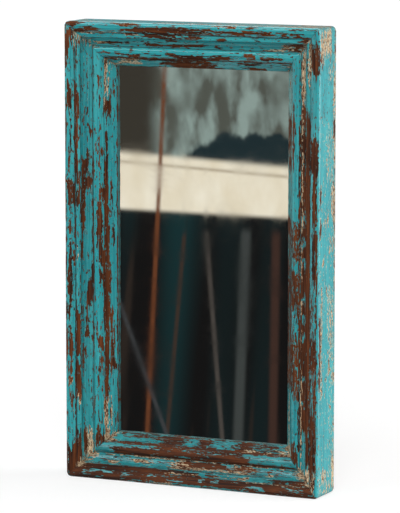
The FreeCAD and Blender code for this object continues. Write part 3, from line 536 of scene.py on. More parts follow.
class MirrorSectionSizes(bpy.types.PropertyGroup):
    """Cross-section of the frame members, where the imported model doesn't give it."""

    nose_round: FloatProperty(
        name="Nose Round", description="Radius of the rounded outer front edge", default=0.0055, **LENGTH)
    band_inset: FloatProperty(
        name="Band Inset", description="Inner edge of the outer band", default=0.017, **LENGTH)
    band_fall: FloatProperty(
        name="Band Fall", description="How far the band falls back", default=0.0055, **LENGTH)
    band_crown: FloatProperty(
        name="Band Crown", description="Radius of the band's crown", default=0.030, **LENGTH)
    step_drop: FloatProperty(
        name="Step Drop", description="Height of the step inside the band", default=0.002, **LENGTH)
    fillet_width: FloatProperty(
        name="Fillet Width", description="Width of the flat fillet", default=0.0085, **LENGTH)
    fillet_fall: FloatProperty(
        name="Fillet Fall", description="How far the fillet falls back", default=0.001, **LENGTH)
    bead_flank: FloatProperty(
        name="Bead Flank", description="Rise of the bead's outer flank", default=0.003, **LENGTH)
    bead_width: FloatProperty(
        name="Bead Width", description="From the crease to the bead's inner arris", default=0.0185, **LENGTH)
    bead_fall: FloatProperty(
        name="Bead Fall", description="How far the arris lies behind the crease", default=0.006, **LENGTH)
    lip_wall: FloatProperty(
        name="Lip Wall", description="Height of the lip that the glass lies against", default=0.005, **LENGTH)
    seat_depth: FloatProperty(
        name="Seat Depth", description="Depth of the seat of the sight moulding", default=0.042, **LENGTH)
    panel_clearance: FloatProperty(
        name="Panel Clearance", description="Gap round the back panel", default=0.001, **LENGTH)
    corner_round: FloatProperty(
        name="Corner Round", description="Radius of the frame's outer corners", default=0.008, **LENGTH)
    back_round: FloatProperty(
        name="Back Round", description="Radius of the outer back edge", default=0.003, **LENGTH)


class MirrorPaintLooks(bpy.types.PropertyGroup):
    """Colours and flake sizes of the painted wood."""

    paint: FloatVectorProperty(
        name="Paint", description="Turquoise top coat", default=(0.021, 0.342, 0.377, 1.0), **COLOUR)
    paint_faded: FloatVectorProperty(
        name="Faded Paint", description="Rubbed top coat", default=(0.052, 0.46, 0.485, 1.0), **COLOUR)
    paint_deep: FloatVectorProperty(
        name="Deep Paint", description="Top coat where it lies thick",
        default=(0.013, 0.225, 0.265, 1.0), **COLOUR)
    # A pale painted sheen, mixed into the colour of the sides' paint.
    sheen_veil: FloatVectorProperty(
        name="Sheen Veil", description="Dull bloom on the paint of the sides",
        default=(0.95, 0.95, 0.95, 1.0), **COLOUR)
    undercoat: FloatVectorProperty(
        name="Undercoat", description="Pale coat under the paint", default=(0.84, 0.63, 0.39, 1.0), **COLOUR)
    wood_light: FloatVectorProperty(
        name="Light Wood", description="Pale grain of the bare wood",
        default=(0.175, 0.047, 0.0105, 1.0), **COLOUR)
    wood_dark: FloatVectorProperty(
        name="Dark Wood", description="Dark grain of the bare wood",
        default=(0.032, 0.009, 0.003, 1.0), **COLOUR)
    raw_light: FloatVectorProperty(
        name="Light Raw Wood", description="Pale grain of the unpainted back",
        default=(0.235, 0.105, 0.042, 1.0), **COLOUR)
    raw_dark: FloatVectorProperty(
        name="Dark Raw Wood", description="Dark grain of the unpainted back",
        default=(0.095, 0.036, 0.014, 1.0), **COLOUR)
    grime: FloatVectorProperty(
        name="Grime", description="Dirt in the hollows", default=(0.020, 0.012, 0.011, 1.0), **COLOUR)
    flake_length: FloatProperty(
        name="Flake Length", description="Length of the flakes along the grain", default=0.014, **LENGTH)
    flake_width: FloatProperty(
        name="Flake Width", description="Width of the flakes across the grain", default=0.0029, **LENGTH)
    paint_thickness: FloatProperty(
        name="Paint Thickness", description="Thickness of the layers of paint", default=0.0005, **LENGTH)


class MirrorFittingLooks(bpy.types.PropertyGroup):
    """Colours of the glass and of the fittings on the back."""

    silver: FloatVectorProperty(
        name="Silver", description="Silvering of the glass", default=(0.82, 0.845, 0.835, 1.0), **COLOUR)
    ply_light: FloatVectorProperty(
        name="Light Plywood", description="Pale grain of the back panel",
        default=(0.50, 0.335, 0.185, 1.0), **COLOUR)
    ply_dark: FloatVectorProperty(
        name="Dark Plywood", description="Dark grain of the back panel",
        default=(0.27, 0.155, 0.072, 1.0), **COLOUR)
    card: FloatVectorProperty(
        name="Card", description="Grey backing card", default=(0.26, 0.23, 0.19, 1.0), **COLOUR)
    rubber: FloatVectorProperty(
        name="Rubber", description="Setting blocks", default=(0.022, 0.022, 0.023, 1.0), **COLOUR)
    zinc: FloatVectorProperty(
        name="Zinc", description="Plating of the hangers", default=(0.56, 0.57, 0.58, 1.0), **COLOUR)
    screw: FloatVectorProperty(
        name="Screw Plating", description="Yellow plating of the screws",
        default=(0.60, 0.46, 0.22, 1.0), **COLOUR)
    rust: FloatVectorProperty(
        name="Rust", description="Tarnish on the metal", default=(0.12, 0.052, 0.024, 1.0), **COLOUR)
    felt: FloatVectorProperty(
        name="Felt", description="Wall bumpers", default=(0.050, 0.047, 0.044, 1.0), **COLOUR)


class MirrorStageSettings(bpy.types.PropertyGroup):
    """Camera, light and floor."""

    camera_place: FloatVectorProperty(
        name="Camera Place", description="Where the camera stands", subtype="TRANSLATION",
        default=(2.23278, -4.79473, 1.09333))
    camera_yaw: FloatProperty(
        name="Camera Yaw", description="Turn about the vertical", default=math.radians(24.9574), **ANGLE)
    camera_pitch: FloatProperty(
        name="Camera Pitch", description="How far it looks down", default=math.radians(7.7490), **ANGLE)
    lens: FloatProperty(
        name="Lens", description="Focal length in millimetres", default=232.06, unit="CAMERA")
    key_strength: FloatProperty(
        name="Key Strength", description="Strength of the main light", default=1.63, **STRENGTH)
    side_strength: FloatProperty(
        name="Side Strength", description="Strength of the light on the right side", default=2.7, **STRENGTH)
    back_strength: FloatProperty(
        name="Back Strength", description="Strength of the light behind", default=0.7, **STRENGTH)
    crest_strength: FloatProperty(
        name="Crest Strength", description="Strength of the small light on the upper crests",
        default=0.62, **STRENGTH)
    sky_strength: FloatProperty(
        name="Sky Strength", description="Strength of the light from all round", default=0.30, **STRENGTH)
    floor: FloatVectorProperty(
        name="Floor", description="Colour of the floor", default=(0.95, 0.95, 0.95, 1.0), **COLOUR)


# Cross-sections

def line_points(start, end, spacing):
    """Points on a straight run, without its end."""
    count = max(1, round(math.dist(start, end) / spacing))
    shares = np.arange(count) / count
    return np.outer(1.0 - shares, start) + np.outer(shares, end)


def arc_points(start, end, radius, turn, spacing):
    """Points on an arc, without its end. A turn of 1 has its centre left of the way, and -1 right of it."""
    start, end = np.array(start), np.array(end)
    chord = end - start
    half = np.hypot(*chord) / 2.0
    left = np.array((-chord[1], chord[0])) / (2.0 * half)
    centre = (start + end) / 2.0 + left * turn * math.sqrt(max(radius ** 2 - half ** 2, 0.0))
    first = math.atan2(*(start - centre)[::-1])
    sweep = 2.0 * math.asin(min(half / radius, 1.0)) * turn
    count = max(2, round(abs(sweep) * radius / spacing))
    angles = first + sweep * np.arange(count) / count
    return centre + radius * np.stack((np.cos(angles), np.sin(angles)), axis=1)


class Section:
    """A closed cross-section: inset from the outer edge and depth behind the front plane, in metres.

    Each run starts where the last one ends. It gives its name, its end, its spacing and whether it shows, and
    an arc gives its radius and turn as well.
    """

    def __init__(self, start, runs):
        strips = []
        for name, end, spacing, shown, *arc in runs:
            points = arc_points(start, end, *arc, spacing) if arc else line_points(start, end, spacing)
            strips.append((name, points, shown))
            start = end
        self.points = np.concatenate([points for _, points, _ in strips])
        self.shown = np.concatenate([np.full(len(points), shown) for _, points, shown in strips])
        self.names = np.concatenate([np.full(len(points), name) for name, points, _ in strips])
        self.measure(strips)
        self.soften()
        ahead, behind = self.neighbours()
        tangents = ahead - behind
        tangents /= np.hypot(tangents[:, 0], tangents[:, 1])[:, None]
        self.outward = np.stack((tangents[:, 1], -tangents[:, 0]), axis=1)

    def neighbours(self):
        return np.roll(self.points, -1, axis=0), np.roll(self.points, 1, axis=0)

    def measure(self, strips):
        """Distances round the section: on the surface, in the bake map and in the flakes' noise."""
        steps = self.neighbours()[0] - self.points
        lengths = np.hypot(steps[:, 0], steps[:, 1])
        map_lengths = np.where(self.shown, lengths, lengths * REAR_MAP_SHARE)
        self.across = np.concatenate(((0.0,), np.cumsum(lengths)[:-1]))
        self.map_across = np.concatenate(((0.0,), np.cumsum(map_lengths))) / map_lengths.sum()
        self.runs = {}
        first = 0
        for name, points, shown in strips:
            last = first + len(points)
            end = self.across[last] if last < len(self.points) else lengths.sum()
            self.runs[name] = (self.across[first], end - self.across[first])
            if shown:
                self.shown_end = sum(self.runs[name])
            first = last
        side_end = sum(self.runs.get("side", (0.0, 0.0)))
        squeezed = side_end - (side_end - self.across) * SIDE_FLAKE_SQUEEZE
        self.flake_across = np.where(self.names == "side", squeezed, self.across)

    def soften(self):
        """Rounds the arrises of the shown face a little, and leaves the rear crisp."""
        for _ in range(ROUNDING_PASSES):
            ahead, behind = self.neighbours()
            eased = 0.5 * self.points + 0.25 * (ahead + behind)
            inner = self.shown & np.roll(self.shown, 1) & np.roll(self.shown, -1)
            self.points = np.where(inner[:, None], eased, self.points)


def member_section(sizes):
    """Outer member: side, nose, band, step, fillet and cove, then the rebates and the back."""
    band_end = (sizes.band_inset, sizes.band_fall)
    step_end = (sizes.band_inset, sizes.band_fall + sizes.step_drop)
    fillet_end = (sizes.band_inset + sizes.fillet_width, step_end[1] + sizes.fillet_fall)
    cove_radius = CREASE_INSET - fillet_end[0]
    panel_wall = PANEL_INSET - sizes.panel_clearance
    side_start = (0.0, FRAME_DEPTH - sizes.back_round)
    return Section(side_start, [
        ("side", (0.0, sizes.nose_round), SIDE_SPACING, True),
        ("nose", (sizes.nose_round, 0.0), FACE_SPACING, True, sizes.nose_round, 1),
        ("band", band_end, FACE_SPACING, True, sizes.band_crown, 1),
        ("step", step_end, FACE_SPACING, True),
        ("fillet", fillet_end, FACE_SPACING, True),
        ("cove", (CREASE_INSET, fillet_end[1] + cove_radius), FACE_SPACING, True, cove_radius, -1),
        ("seat_wall", (CREASE_INSET, sizes.seat_depth), REAR_SPACING, False),
        ("seat", (REBATE_INSET, sizes.seat_depth), REAR_SPACING, False),
        ("rebate", (REBATE_INSET, PANEL_DEPTH), REAR_SPACING, False),
        ("ledge", (panel_wall, PANEL_DEPTH), REAR_SPACING, False),
        ("panel_wall", (panel_wall, FRAME_DEPTH), SIDE_SPACING, False),
        ("back", (sizes.back_round, FRAME_DEPTH), SIDE_SPACING, False),
        ("back_round", side_start, FACE_SPACING, False, sizes.back_round, 1),
    ])


def sight_section(sizes):
    """Sight moulding: flank, bead, splay and lip, then the back that sits in the outer member."""
    crease_depth = (sizes.band_fall + sizes.step_drop + sizes.fillet_fall
                    + CREASE_INSET - sizes.band_inset - sizes.fillet_width)
    crease = (CREASE_INSET, crease_depth)
    flank_end = (CREASE_INSET + sizes.bead_flank, crease_depth - sizes.bead_flank)
    arris = (CREASE_INSET + sizes.bead_width, crease_depth + sizes.bead_fall)
    bead_radius = math.dist(flank_end, arris) / math.sqrt(2.0)
    return Section(crease, [
        ("flank", flank_end, FACE_SPACING, True),
        ("bead", arris, FACE_SPACING, True, bead_radius, 1),
        ("splay", (SIGHT_INSET, GLASS_DEPTH - sizes.lip_wall), FACE_SPACING, True),
        ("lip", (SIGHT_INSET, GLASS_DEPTH), FACE_SPACING, True),
        ("lip_back", (REBATE_INSET, GLASS_DEPTH), REAR_SPACING, False),
        ("glass_wall", (REBATE_INSET, sizes.seat_depth), REAR_SPACING, False),
        ("underside", (CREASE_INSET, sizes.seat_depth), REAR_SPACING, False),
        ("outer_wall", crease, REAR_SPACING, False),
    ])


# Worn surfaces

def lattice_noise(u, v, seed):
    """Smooth seeded noise from -1 to 1, one cell to each unit of u and v."""
    table = np.random.default_rng(seed).uniform(-1.0, 1.0, (NOISE_CELLS, NOISE_CELLS))
    column, row = np.floor(u).astype(int), np.floor(v).astype(int)
    share_u, share_v = u - column, v - row
    share_u, share_v = (share * share * (3.0 - 2.0 * share) for share in (share_u, share_v))
    column, row = column % NOISE_CELLS, row % NOISE_CELLS
    next_column, next_row = (column + 1) % NOISE_CELLS, (row + 1) % NOISE_CELLS
    near = table[column, row] * (1.0 - share_u) + table[next_column, row] * share_u
    far = table[column, next_row] * (1.0 - share_u) + table[next_column, next_row] * share_u
    return near * (1.0 - share_v) + far * share_v


def named_noise(name, first, second, seed):
    """One of the noises of the worn surface, at distances in metres."""
    seed_step, first_size, second_size = NOISES[name]
    return lattice_noise(first / first_size, second / second_size, seed + seed_step)


def between(value, low, high, fade):
    """One between low and high, fading to nothing outside them."""
    rise = np.clip((value - low) / fade + 0.5, 0.0, 1.0)
    fall = np.clip((high - value) / fade + 0.5, 0.0, 1.0)
    return rise * fall


def near_edges(section, across, strips, reach, inset=0.0):
    """One at the outer edges of strips, or that far inside them, fading within the reach."""
    nearness = np.zeros_like(across)
    for strip in strips:
        if strip in section.runs:
            place = section.runs[strip][0] + inset
            nearness = np.maximum(nearness, np.exp(-((across - place) / reach) ** 2))
    return nearness


def member_columns(section, length):
    """Distance along the member of every point of every column, mitred at both ends."""
    inset = section.points[:, 0]
    first, last = inset + MITRE_STEPS[-1], length - inset - MITRE_STEPS[-1]
    shares = np.linspace(0.0, 1.0, round(length / LENGTH_SPACING))[1:]
    start = [inset + step for step in MITRE_STEPS]
    middle = [first + (last - first) * share for share in shares]
    end = [length - inset - step for step in reversed(MITRE_STEPS[:-1])]
    return np.array(start + middle + end)


def from_mitres(section, along, length):
    """Distance of every point from the start and from the end mitre."""
    inset = section.points[:, 0]
    return along - inset, length - inset - along


def surface_relief(section, along, length, seed):
    """How far each point stands proud of the straight moulding, in metres."""
    across = np.broadcast_to(section.across, along.shape)
    relief = BROAD_SWELL * named_noise("broad_swell", along, across, seed)
    relief += SMALL_SWELL * named_noise("small_swell", along, across, seed)
    relief += GRAIN_RIDGE * named_noise("grain_ridge", along, across, seed)
    arris = near_edges(section, across, ARRIS_STRIPS, ARRIS_REACH)
    chips = np.clip(named_noise("arris_chip", along, across, seed) - CHIP_LEVEL, 0.0, None)
    relief -= ARRIS_CHIP * arris * chips
    from_mitre = np.minimum(*from_mitres(section, along, length))
    opening = GROOVE_MEAN + GROOVE_CHANGE * named_noise("mitre_groove", across, along, seed)
    relief -= MITRE_GROOVE * opening * np.exp(-(from_mitre / MITRE_REACH) ** 2)
    ends = between(across, RELIEF_MARGIN, section.shown_end - RELIEF_MARGIN, RELIEF_FADE)
    outside = np.isin(section.names, ("side", "nose"))
    relief = np.where(outside, np.minimum(relief, 0.0), relief)
    return relief * np.where(section.shown, ends, 0.0)


def wear_maps(section, patches, along, length, seed, start_cream, end_cream):
    """Paint loss and undercoat at every point."""
    across = np.broadcast_to(section.across, along.shape)
    wander_along = along + PATCH_WANDER_ALONG * named_noise("patch_along", along, across, seed)
    wander_across = across + PATCH_WANDER_ACROSS * named_noise("patch_across", along, across, seed)
    wear = np.array([STRIP_WEAR.get(name, REAR_WEAR) for name in section.names])
    wear = wear + EVEN_WEAR + UNEVEN_WEAR * named_noise("uneven_wear", along, across, seed)
    arris = near_edges(section, across, ARRIS_STRIPS, ARRIS_REACH)
    rubbed = np.clip(named_noise("arris_wear", along, across, seed) - ARRIS_WEAR_LEVEL, 0.0, 1.0)
    wear += ARRIS_WEAR * arris * rubbed
    cream = np.full(along.shape, BASE_CREAM)
    for strip, rows in patches.items():
        strip_start, strip_width = section.runs[strip]
        for start, end, outer, inner, loss, *undercoat in rows:
            fade_along = min(PATCH_FADE_ALONG, PATCH_FADE_SHARE * (end - start) * length)
            fade_across = min(PATCH_FADE_ACROSS, PATCH_FADE_SHARE * (inner - outer) * strip_width)
            weight = between(wander_along, start * length, end * length, fade_along)
            outer_edge, inner_edge = (strip_start + edge * strip_width for edge in (outer, inner))
            weight *= between(wander_across, outer_edge, inner_edge, fade_across)
            wear += (loss - wear) * weight
            cream += ((undercoat[0] if undercoat else BASE_CREAM) - cream) * weight
    from_start, from_end = from_mitres(section, along, length)
    corner = np.isin(section.names, CORNER_STRIPS)
    reach = CREAM_REACH_MEAN + CREAM_REACH_CHANGE * named_noise("mitre_cream", across, along, seed)
    reach = CORNER_CREAM_REACH * reach
    pale = np.maximum(start_cream * np.exp(-from_start / reach), end_cream * np.exp(-from_end / reach)) * corner
    wear += (CORNER_WEAR - wear) * pale
    cream += (1.0 - cream) * pale
    return wear, cream


def dirt_and_shade_map(section, along, length, soot, outer_dust_and_shade):
    """Soot, and dust with painted shade, all along; dirt and painted shade in hollows, painted shadow under
    edges, and dirt in mitres.
    """
    across = np.broadcast_to(section.across, along.shape)
    strip_dust_and_shade = HOLLOW_DUST_AND_SHADE | {"side": outer_dust_and_shade}
    dust = np.array([strip_dust_and_shade.get(name, 0.0) for name in section.names])
    grime = np.broadcast_to(np.maximum(soot, dust), along.shape)
    for strip, (inset, reach, amount) in HOLLOW_DIRT_AND_SHADE.items():
        grime = np.maximum(grime, amount * near_edges(section, across, (strip,), reach, inset))
    from_mitre = np.minimum(*from_mitres(section, along, length))
    grime = np.maximum(grime, MITRE_DIRT * np.exp(-(from_mitre / MITRE_REACH) ** 2))
    corner = np.isin(section.names, CORNER_STRIPS)
    return np.maximum(grime, CORNER_DIRT * corner * np.exp(-from_mitre / CORNER_DIRT_REACH))


def raw_wood_map(section, along):
    """One on the unpainted rear. On the back it rises from nothing at the painted edge."""
    inward = 1.0
    if "back" in section.runs:
        inward = np.clip((sum(section.runs["back"]) - section.across) / OVERSPILL_REACH, 0.0, 1.0)
    return np.broadcast_to(np.where(section.shown, 0.0, inward), along.shape)


def round_corner(inset, along, radius):
    """Bends the square outer corner of the frame to the given radius."""
    in_corner = (inset < radius) & (along < radius)
    share = np.where(in_corner, (radius - along) / np.maximum(radius - inset, 1e-6), 0.0)
    angle = np.clip(share, 0.0, 1.0) * math.pi / 4.0
    reach = radius - inset
    return (np.where(in_corner, radius - reach * np.cos(angle), inset),
            np.where(in_corner, radius - reach * np.sin(angle), along))


def to_frame(side, inset, depth, along):
    """Places of a member's points in the frame."""
    if side == "left":
        x, z = FRAME_LOW.x + inset, FRAME_LOW.z + along
    elif side == "right":
        x, z = FRAME_HIGH.x - inset, FRAME_LOW.z + along
    elif side == "top":
        x, z = FRAME_LOW.x + along, FRAME_HIGH.z - inset
    else:
        x, z = FRAME_LOW.x + along, FRAME_LOW.z + inset
    return np.stack((x, FRONT_PLANE + depth, z), axis=-1)


def member_faces(columns, count, flipped):
    """Faces between the columns of a member's points, and its two caps."""
    column, point = np.divmod(np.arange((columns - 1) * count), count)
    here, there = column * count, (column + 1) * count
    after = (point + 1) % count
    faces = np.stack((here + point, here + after, there + after, there + point), axis=1)
    first_cap = list(range(count))
    last_cap = [(columns - 1) * count + index for index in first_cap]
    if flipped:
        return faces[:, ::-1].tolist() + [first_cap, last_cap[::-1]]
    return faces.tolist() + [first_cap[::-1], last_cap]


def add_values(mesh, name, values):
    attribute = mesh.attributes.new(name, "FLOAT", "POINT")
    attribute.data.foreach_set("value", np.ascontiguousarray(values, dtype=np.float32).ravel())


def add_bake_map(mesh, section, columns, flipped):
    """Unrolls the member into two strips, so that baked colours stay sharp along its whole length."""
    count = len(section.points)
    half = (columns - 1) / 2.0
    column, point = np.divmod(np.arange((columns - 1) * count), count)
    corner_column = np.stack((column, column, column + 1, column + 1), axis=1)
    corner_point = np.stack((point, point + 1, point + 1, point), axis=1)
    strip = (column >= half).astype(float)[:, None]
    u = np.clip((corner_column - strip * half) / half, 0.0, 1.0)
    v = MAP_MARGIN + MAP_STRIP_HEIGHT * section.map_across[corner_point] + strip * MAP_STRIP_PITCH
    if flipped:
        u, v = u[:, ::-1], v[:, ::-1]
    places = np.stack((u, v), axis=-1).reshape(-1, 2)
    caps = np.tile(section.points / FRAME_DEPTH * MAP_CAP_SIZE + MAP_CAP_PLACE, (2, 1))
    layer = mesh.uv_layers.new(name="OFBake")
    layer.uv.foreach_set("vector", np.concatenate((places, caps)).astype(np.float32).ravel())


def link_object(name, data):
    """A new object in the scene."""
    new = bpy.data.objects.new(name, data)
    bpy.context.scene.collection.objects.link(new)
    return new


def make_member(name, side, section, seed, patches, sizes, material):
    """One mitred member with its worn surface, and the values that its material reads."""
    length = FRAME_HEIGHT if side in ("left", "right") else FRAME_WIDTH
    flipped = side in ("right", "bottom")
    along = member_columns(section, length)
    relief = surface_relief(section, along, length, seed)
    inset = section.points[:, 0] + section.outward[:, 0] * relief
    depth = section.points[:, 1] + section.outward[:, 1] * relief
    inset, near_along = round_corner(inset, along, sizes.corner_round)
    inset, far_along = round_corner(inset, length - near_along, sizes.corner_round)
    points = to_frame(side, inset, depth, length - far_along)
    mesh = bpy.data.meshes.new(name)
    mesh.from_pydata(points.reshape(-1, 3).tolist(), [], member_faces(*along.shape, flipped))
    start_cream, end_cream, soot, outer_dust_and_shade = SIDE_DIRT_AND_SHADE[side]
    wear, cream = wear_maps(section, patches, along, length, seed, start_cream, end_cream)
    add_values(mesh, "wear", wear)
    add_values(mesh, "cream", cream)
    # The grime values hold dirt, and painted shade in hollows, under edges and on the top face.
    add_values(mesh, "grime", dirt_and_shade_map(section, along, length, soot, outer_dust_and_shade))
    add_values(mesh, "raw", raw_wood_map(section, along))
    add_values(mesh, "matte", np.broadcast_to(section.names == "side", along.shape))
    layer = np.full(along.shape, seed * FLAKE_LAYER_STEP)
    place = np.stack((along, np.broadcast_to(section.flake_across, along.shape), layer), axis=-1)
    attribute = mesh.attributes.new("place", "FLOAT_VECTOR", "POINT")
    attribute.data.foreach_set("vector", place.astype(np.float32).ravel())
    add_bake_map(mesh, section, len(along), flipped)
    mesh.shade_smooth()
    mesh.set_sharp_from_angle(angle=SHARP_ANGLE)
    mesh.materials.append(material)
    return link_object(name, mesh)


# Node trees

def add_node(tree, kind, inputs=None, **settings):
    """A node with its settings, and its inputs set to values or linked to sockets."""
    node = tree.nodes.new(kind)
    for name, value in settings.items():
        setattr(node, name, value)
    for name, value in (inputs or {}).items():
        if isinstance(value, bpy.types.NodeSocket):
            tree.links.new(value, node.inputs[name])
        else:
            node.inputs[name].default_value = value
    return node


def math_node(tree, operation, first, second=0.0, clamp=False):
    node = add_node(tree, "ShaderNodeMath", {0: first, 1: second}, operation=operation, use_clamp=clamp)
    return node.outputs[0]


def add(tree, first, second):
    return math_node(tree, "ADD", first, second)


def subtract(tree, first, second, clamp=False):
    return math_node(tree, "SUBTRACT", first, second, clamp)


def multiply(tree, first, second, clamp=False):
    return math_node(tree, "MULTIPLY", first, second, clamp)


def weighted_sum(tree, *parts):
    """Sum of sockets, each times its weight."""
    total, *others = (multiply(tree, value, weight) for value, weight in parts)
    for other in others:
        total = add(tree, total, other)
    return total


def vector_math(tree, operation, first, second):
    return add_node(tree, "ShaderNodeVectorMath", {0: first, 1: second}, operation=operation).outputs[0]


def combine(tree, x, y, z):
    return add_node(tree, "ShaderNodeCombineXYZ", {"X": x, "Y": y, "Z": z}).outputs[0]


def map_range(tree, value, low, high, to_low=0.0, to_high=1.0, smooth=False):
    inputs = {"Value": value, "From Min": low, "From Max": high, "To Min": to_low, "To Max": to_high}
    kind = "SMOOTHSTEP" if smooth else "LINEAR"
    return add_node(tree, "ShaderNodeMapRange", inputs, interpolation_type=kind).outputs[0]


def mix_colour(tree, share, first, second, blend="MIX"):
    inputs = {0: share, 6: first, 7: second}
    return add_node(tree, "ShaderNodeMix", inputs, data_type="RGBA", blend_type=blend).outputs[2]


def mix_value(tree, share, first, second):
    return add_node(tree, "ShaderNodeMix", {0: share, 2: first, 3: second}).outputs[0]


def shade_colour(tree, colour, shade):
    """The colour times a shade of grey."""
    return mix_colour(tree, 1.0, colour, combine(tree, shade, shade, shade), "MULTIPLY")


def plain_noise(tree, place, scale, detail=2.0, roughness=0.5, distortion=0.0):
    inputs = {"Vector": place, "Scale": scale, "Detail": detail, "Roughness": roughness,
              "Distortion": distortion}
    return add_node(tree, "ShaderNodeTexNoise", inputs).outputs[0]


def stretched_noise(tree, place, length, width, detail, roughness, shift=0.0):
    """Noise drawn out along the grain; length and width are one cell's. A shift tells like noises apart."""
    scaled = vector_math(tree, "MULTIPLY", place, (1.0 / length, 1.0 / width, 1.0))
    moved = vector_math(tree, "ADD", scaled, [shift * part for part in NOISE_SHIFT])
    return plain_noise(tree, moved, 1.0, detail, roughness)


def sized_place(tree, place, length, width):
    """The place in units of a length along the grain and a width across it."""
    return vector_math(tree, "DIVIDE", place, combine(tree, length, width, 1.0))


def object_place(tree):
    return add_node(tree, "ShaderNodeTexCoord").outputs["Object"]


def read_values(tree, name):
    return add_node(tree, "ShaderNodeAttribute", attribute_name=name).outputs


def new_group(name, inputs, outputs):
    """An empty node group with its sockets; returns the tree, its inputs by name, and its output node."""
    tree = bpy.data.node_groups.new(name, "ShaderNodeTree")
    for label, kind, value in inputs:
        socket = tree.interface.new_socket(label, in_out="INPUT", socket_type="NodeSocket" + kind)
        if value is not None:
            socket.default_value = value
    for label, kind in outputs:
        tree.interface.new_socket(label, in_out="OUTPUT", socket_type="NodeSocket" + kind)
    entry = tree.nodes.new("NodeGroupInput")
    given = {socket.name: socket for socket in entry.outputs if socket.name}
    return tree, given, tree.nodes.new("NodeGroupOutput")


def send_out(tree, node, **sockets):
    for name, socket in sockets.items():
        tree.links.new(socket, node.inputs[name])


def use_group(tree, maker, inputs):
    """A shared node group, made when it is first used, with this material's own values."""
    name = GROUP_NAMES[maker]
    group = bpy.data.node_groups.get(name) or maker(name)
    return add_node(tree, "ShaderNodeGroup", inputs, node_tree=group).outputs


def flaking_group(name):
    """Where old paint has come away: bare places, the undercoat left in them, and how deep they go."""
    tree, given, out = new_group(
        name,
        [("Place", "Vector", None), ("Wear", "Float", 0.1), ("Undercoat", "Float", 0.1),
         ("Length", "Float", 0.014), ("Width", "Float", 0.0029)],
        [("Bare", "Float"), ("Cream", "Float"), ("Depth", "Float")])
    place = sized_place(tree, given["Place"], given["Length"], given["Width"])
    broad = stretched_noise(tree, place, length=1.3, width=1.2, detail=2.0, roughness=0.5)
    ragged = stretched_noise(tree, place, length=0.50, width=0.62, detail=1.0, roughness=0.45, shift=5.3)
    splinters = stretched_noise(tree, place, length=1.8, width=0.46, detail=1.0, roughness=0.5, shift=9.1)
    specks = stretched_noise(tree, place, length=0.45, width=0.72, detail=0.0, roughness=0.5, shift=13.7)
    crumbs = stretched_noise(tree, place, length=0.32, width=0.36, detail=2.0, roughness=0.6, shift=17.0)
    hold = weighted_sum(tree, (broad, 0.32), (ragged, 0.36), (splinters, 0.32))
    hold = map_range(tree, hold, low=0.365, high=0.64)
    hold = subtract(tree, hold, map_range(tree, specks, low=0.66, high=0.80, to_high=0.6))
    depth = subtract(tree, given["Wear"], hold)
    bare = map_range(tree, depth, low=0.0, high=0.035, smooth=True)
    patchy = map_range(tree, crumbs, low=0.38, high=0.60)
    reach = multiply(tree, multiply(tree, given["Undercoat"], patchy), UNDERCOAT_REACH)
    before, after = UNDERCOAT_FADE
    full, none = subtract(tree, reach, before), add(tree, reach, after)
    worn_off = map_range(tree, depth, low=full, high=none, smooth=True)
    send_out(tree, out, Bare=bare, Cream=subtract(tree, 1.0, worn_off), Depth=depth)
    return tree


def coat_group(name):
    """Brushed paint: thick and rubbed streaks along the grain, and the brush marks' height."""
    tree, given, out = new_group(
        name,
        [("Place", "Vector", None), ("Coat", "Color", None), ("Faded", "Color", None), ("Deep", "Color", None)],
        [("Color", "Color"), ("Height", "Float"), ("Rub", "Float")])
    place = given["Place"]
    streaks = stretched_noise(tree, place, length=0.11, width=0.0034, detail=3.0, roughness=0.6)
    clouds = stretched_noise(tree, place, length=0.16, width=0.05, detail=2.0, roughness=0.5, shift=3.0)
    marks = stretched_noise(tree, place, length=0.03, width=0.0009, detail=2.0, roughness=0.6, shift=7.0)
    rub = map_range(tree, weighted_sum(tree, (streaks, 0.6), (clouds, 0.4)), low=0.47, high=0.68)
    thick = map_range(tree, streaks, low=0.44, high=0.28, to_high=0.75)
    colour = mix_colour(tree, rub, given["Coat"], given["Faded"])
    colour = mix_colour(tree, thick, colour, given["Deep"])
    colour = shade_colour(tree, colour, map_range(tree, marks, low=0.3, high=0.7, to_low=0.9, to_high=1.08))
    send_out(tree, out, Color=colour, Height=marks, Rub=rub)
    return tree


def grain_group(name):
    """Wood grain: dark and pale streaks, pores, and the height of the pores."""
    tree, given, out = new_group(
        name,
        [("Place", "Vector", None), ("Light", "Color", None), ("Dark", "Color", None),
         ("Length", "Float", 0.12), ("Width", "Float", 0.0022)],
        [("Color", "Color"), ("Height", "Float")])
    place = sized_place(tree, given["Place"], given["Length"], given["Width"])
    figure = stretched_noise(tree, place, length=1.0, width=4.0, detail=3.0, roughness=0.6)
    streaks = stretched_noise(tree, place, length=0.8, width=1.0, detail=3.0, roughness=0.65, shift=4.0)
    pores = stretched_noise(tree, place, length=0.12, width=0.28, detail=1.0, roughness=0.5, shift=8.0)
    tone = map_range(tree, weighted_sum(tree, (figure, 0.45), (streaks, 0.55)), low=0.41, high=0.59)
    pore = map_range(tree, pores, low=0.40, high=0.30)
    colour = mix_colour(tree, tone, given["Dark"], given["Light"])
    colour = mix_colour(tree, multiply(tree, pore, PORE_SHADE), colour, given["Dark"])
    send_out(tree, out, Color=colour, Height=subtract(tree, streaks, multiply(tree, pore, PORE_DEPTH)))
    return tree


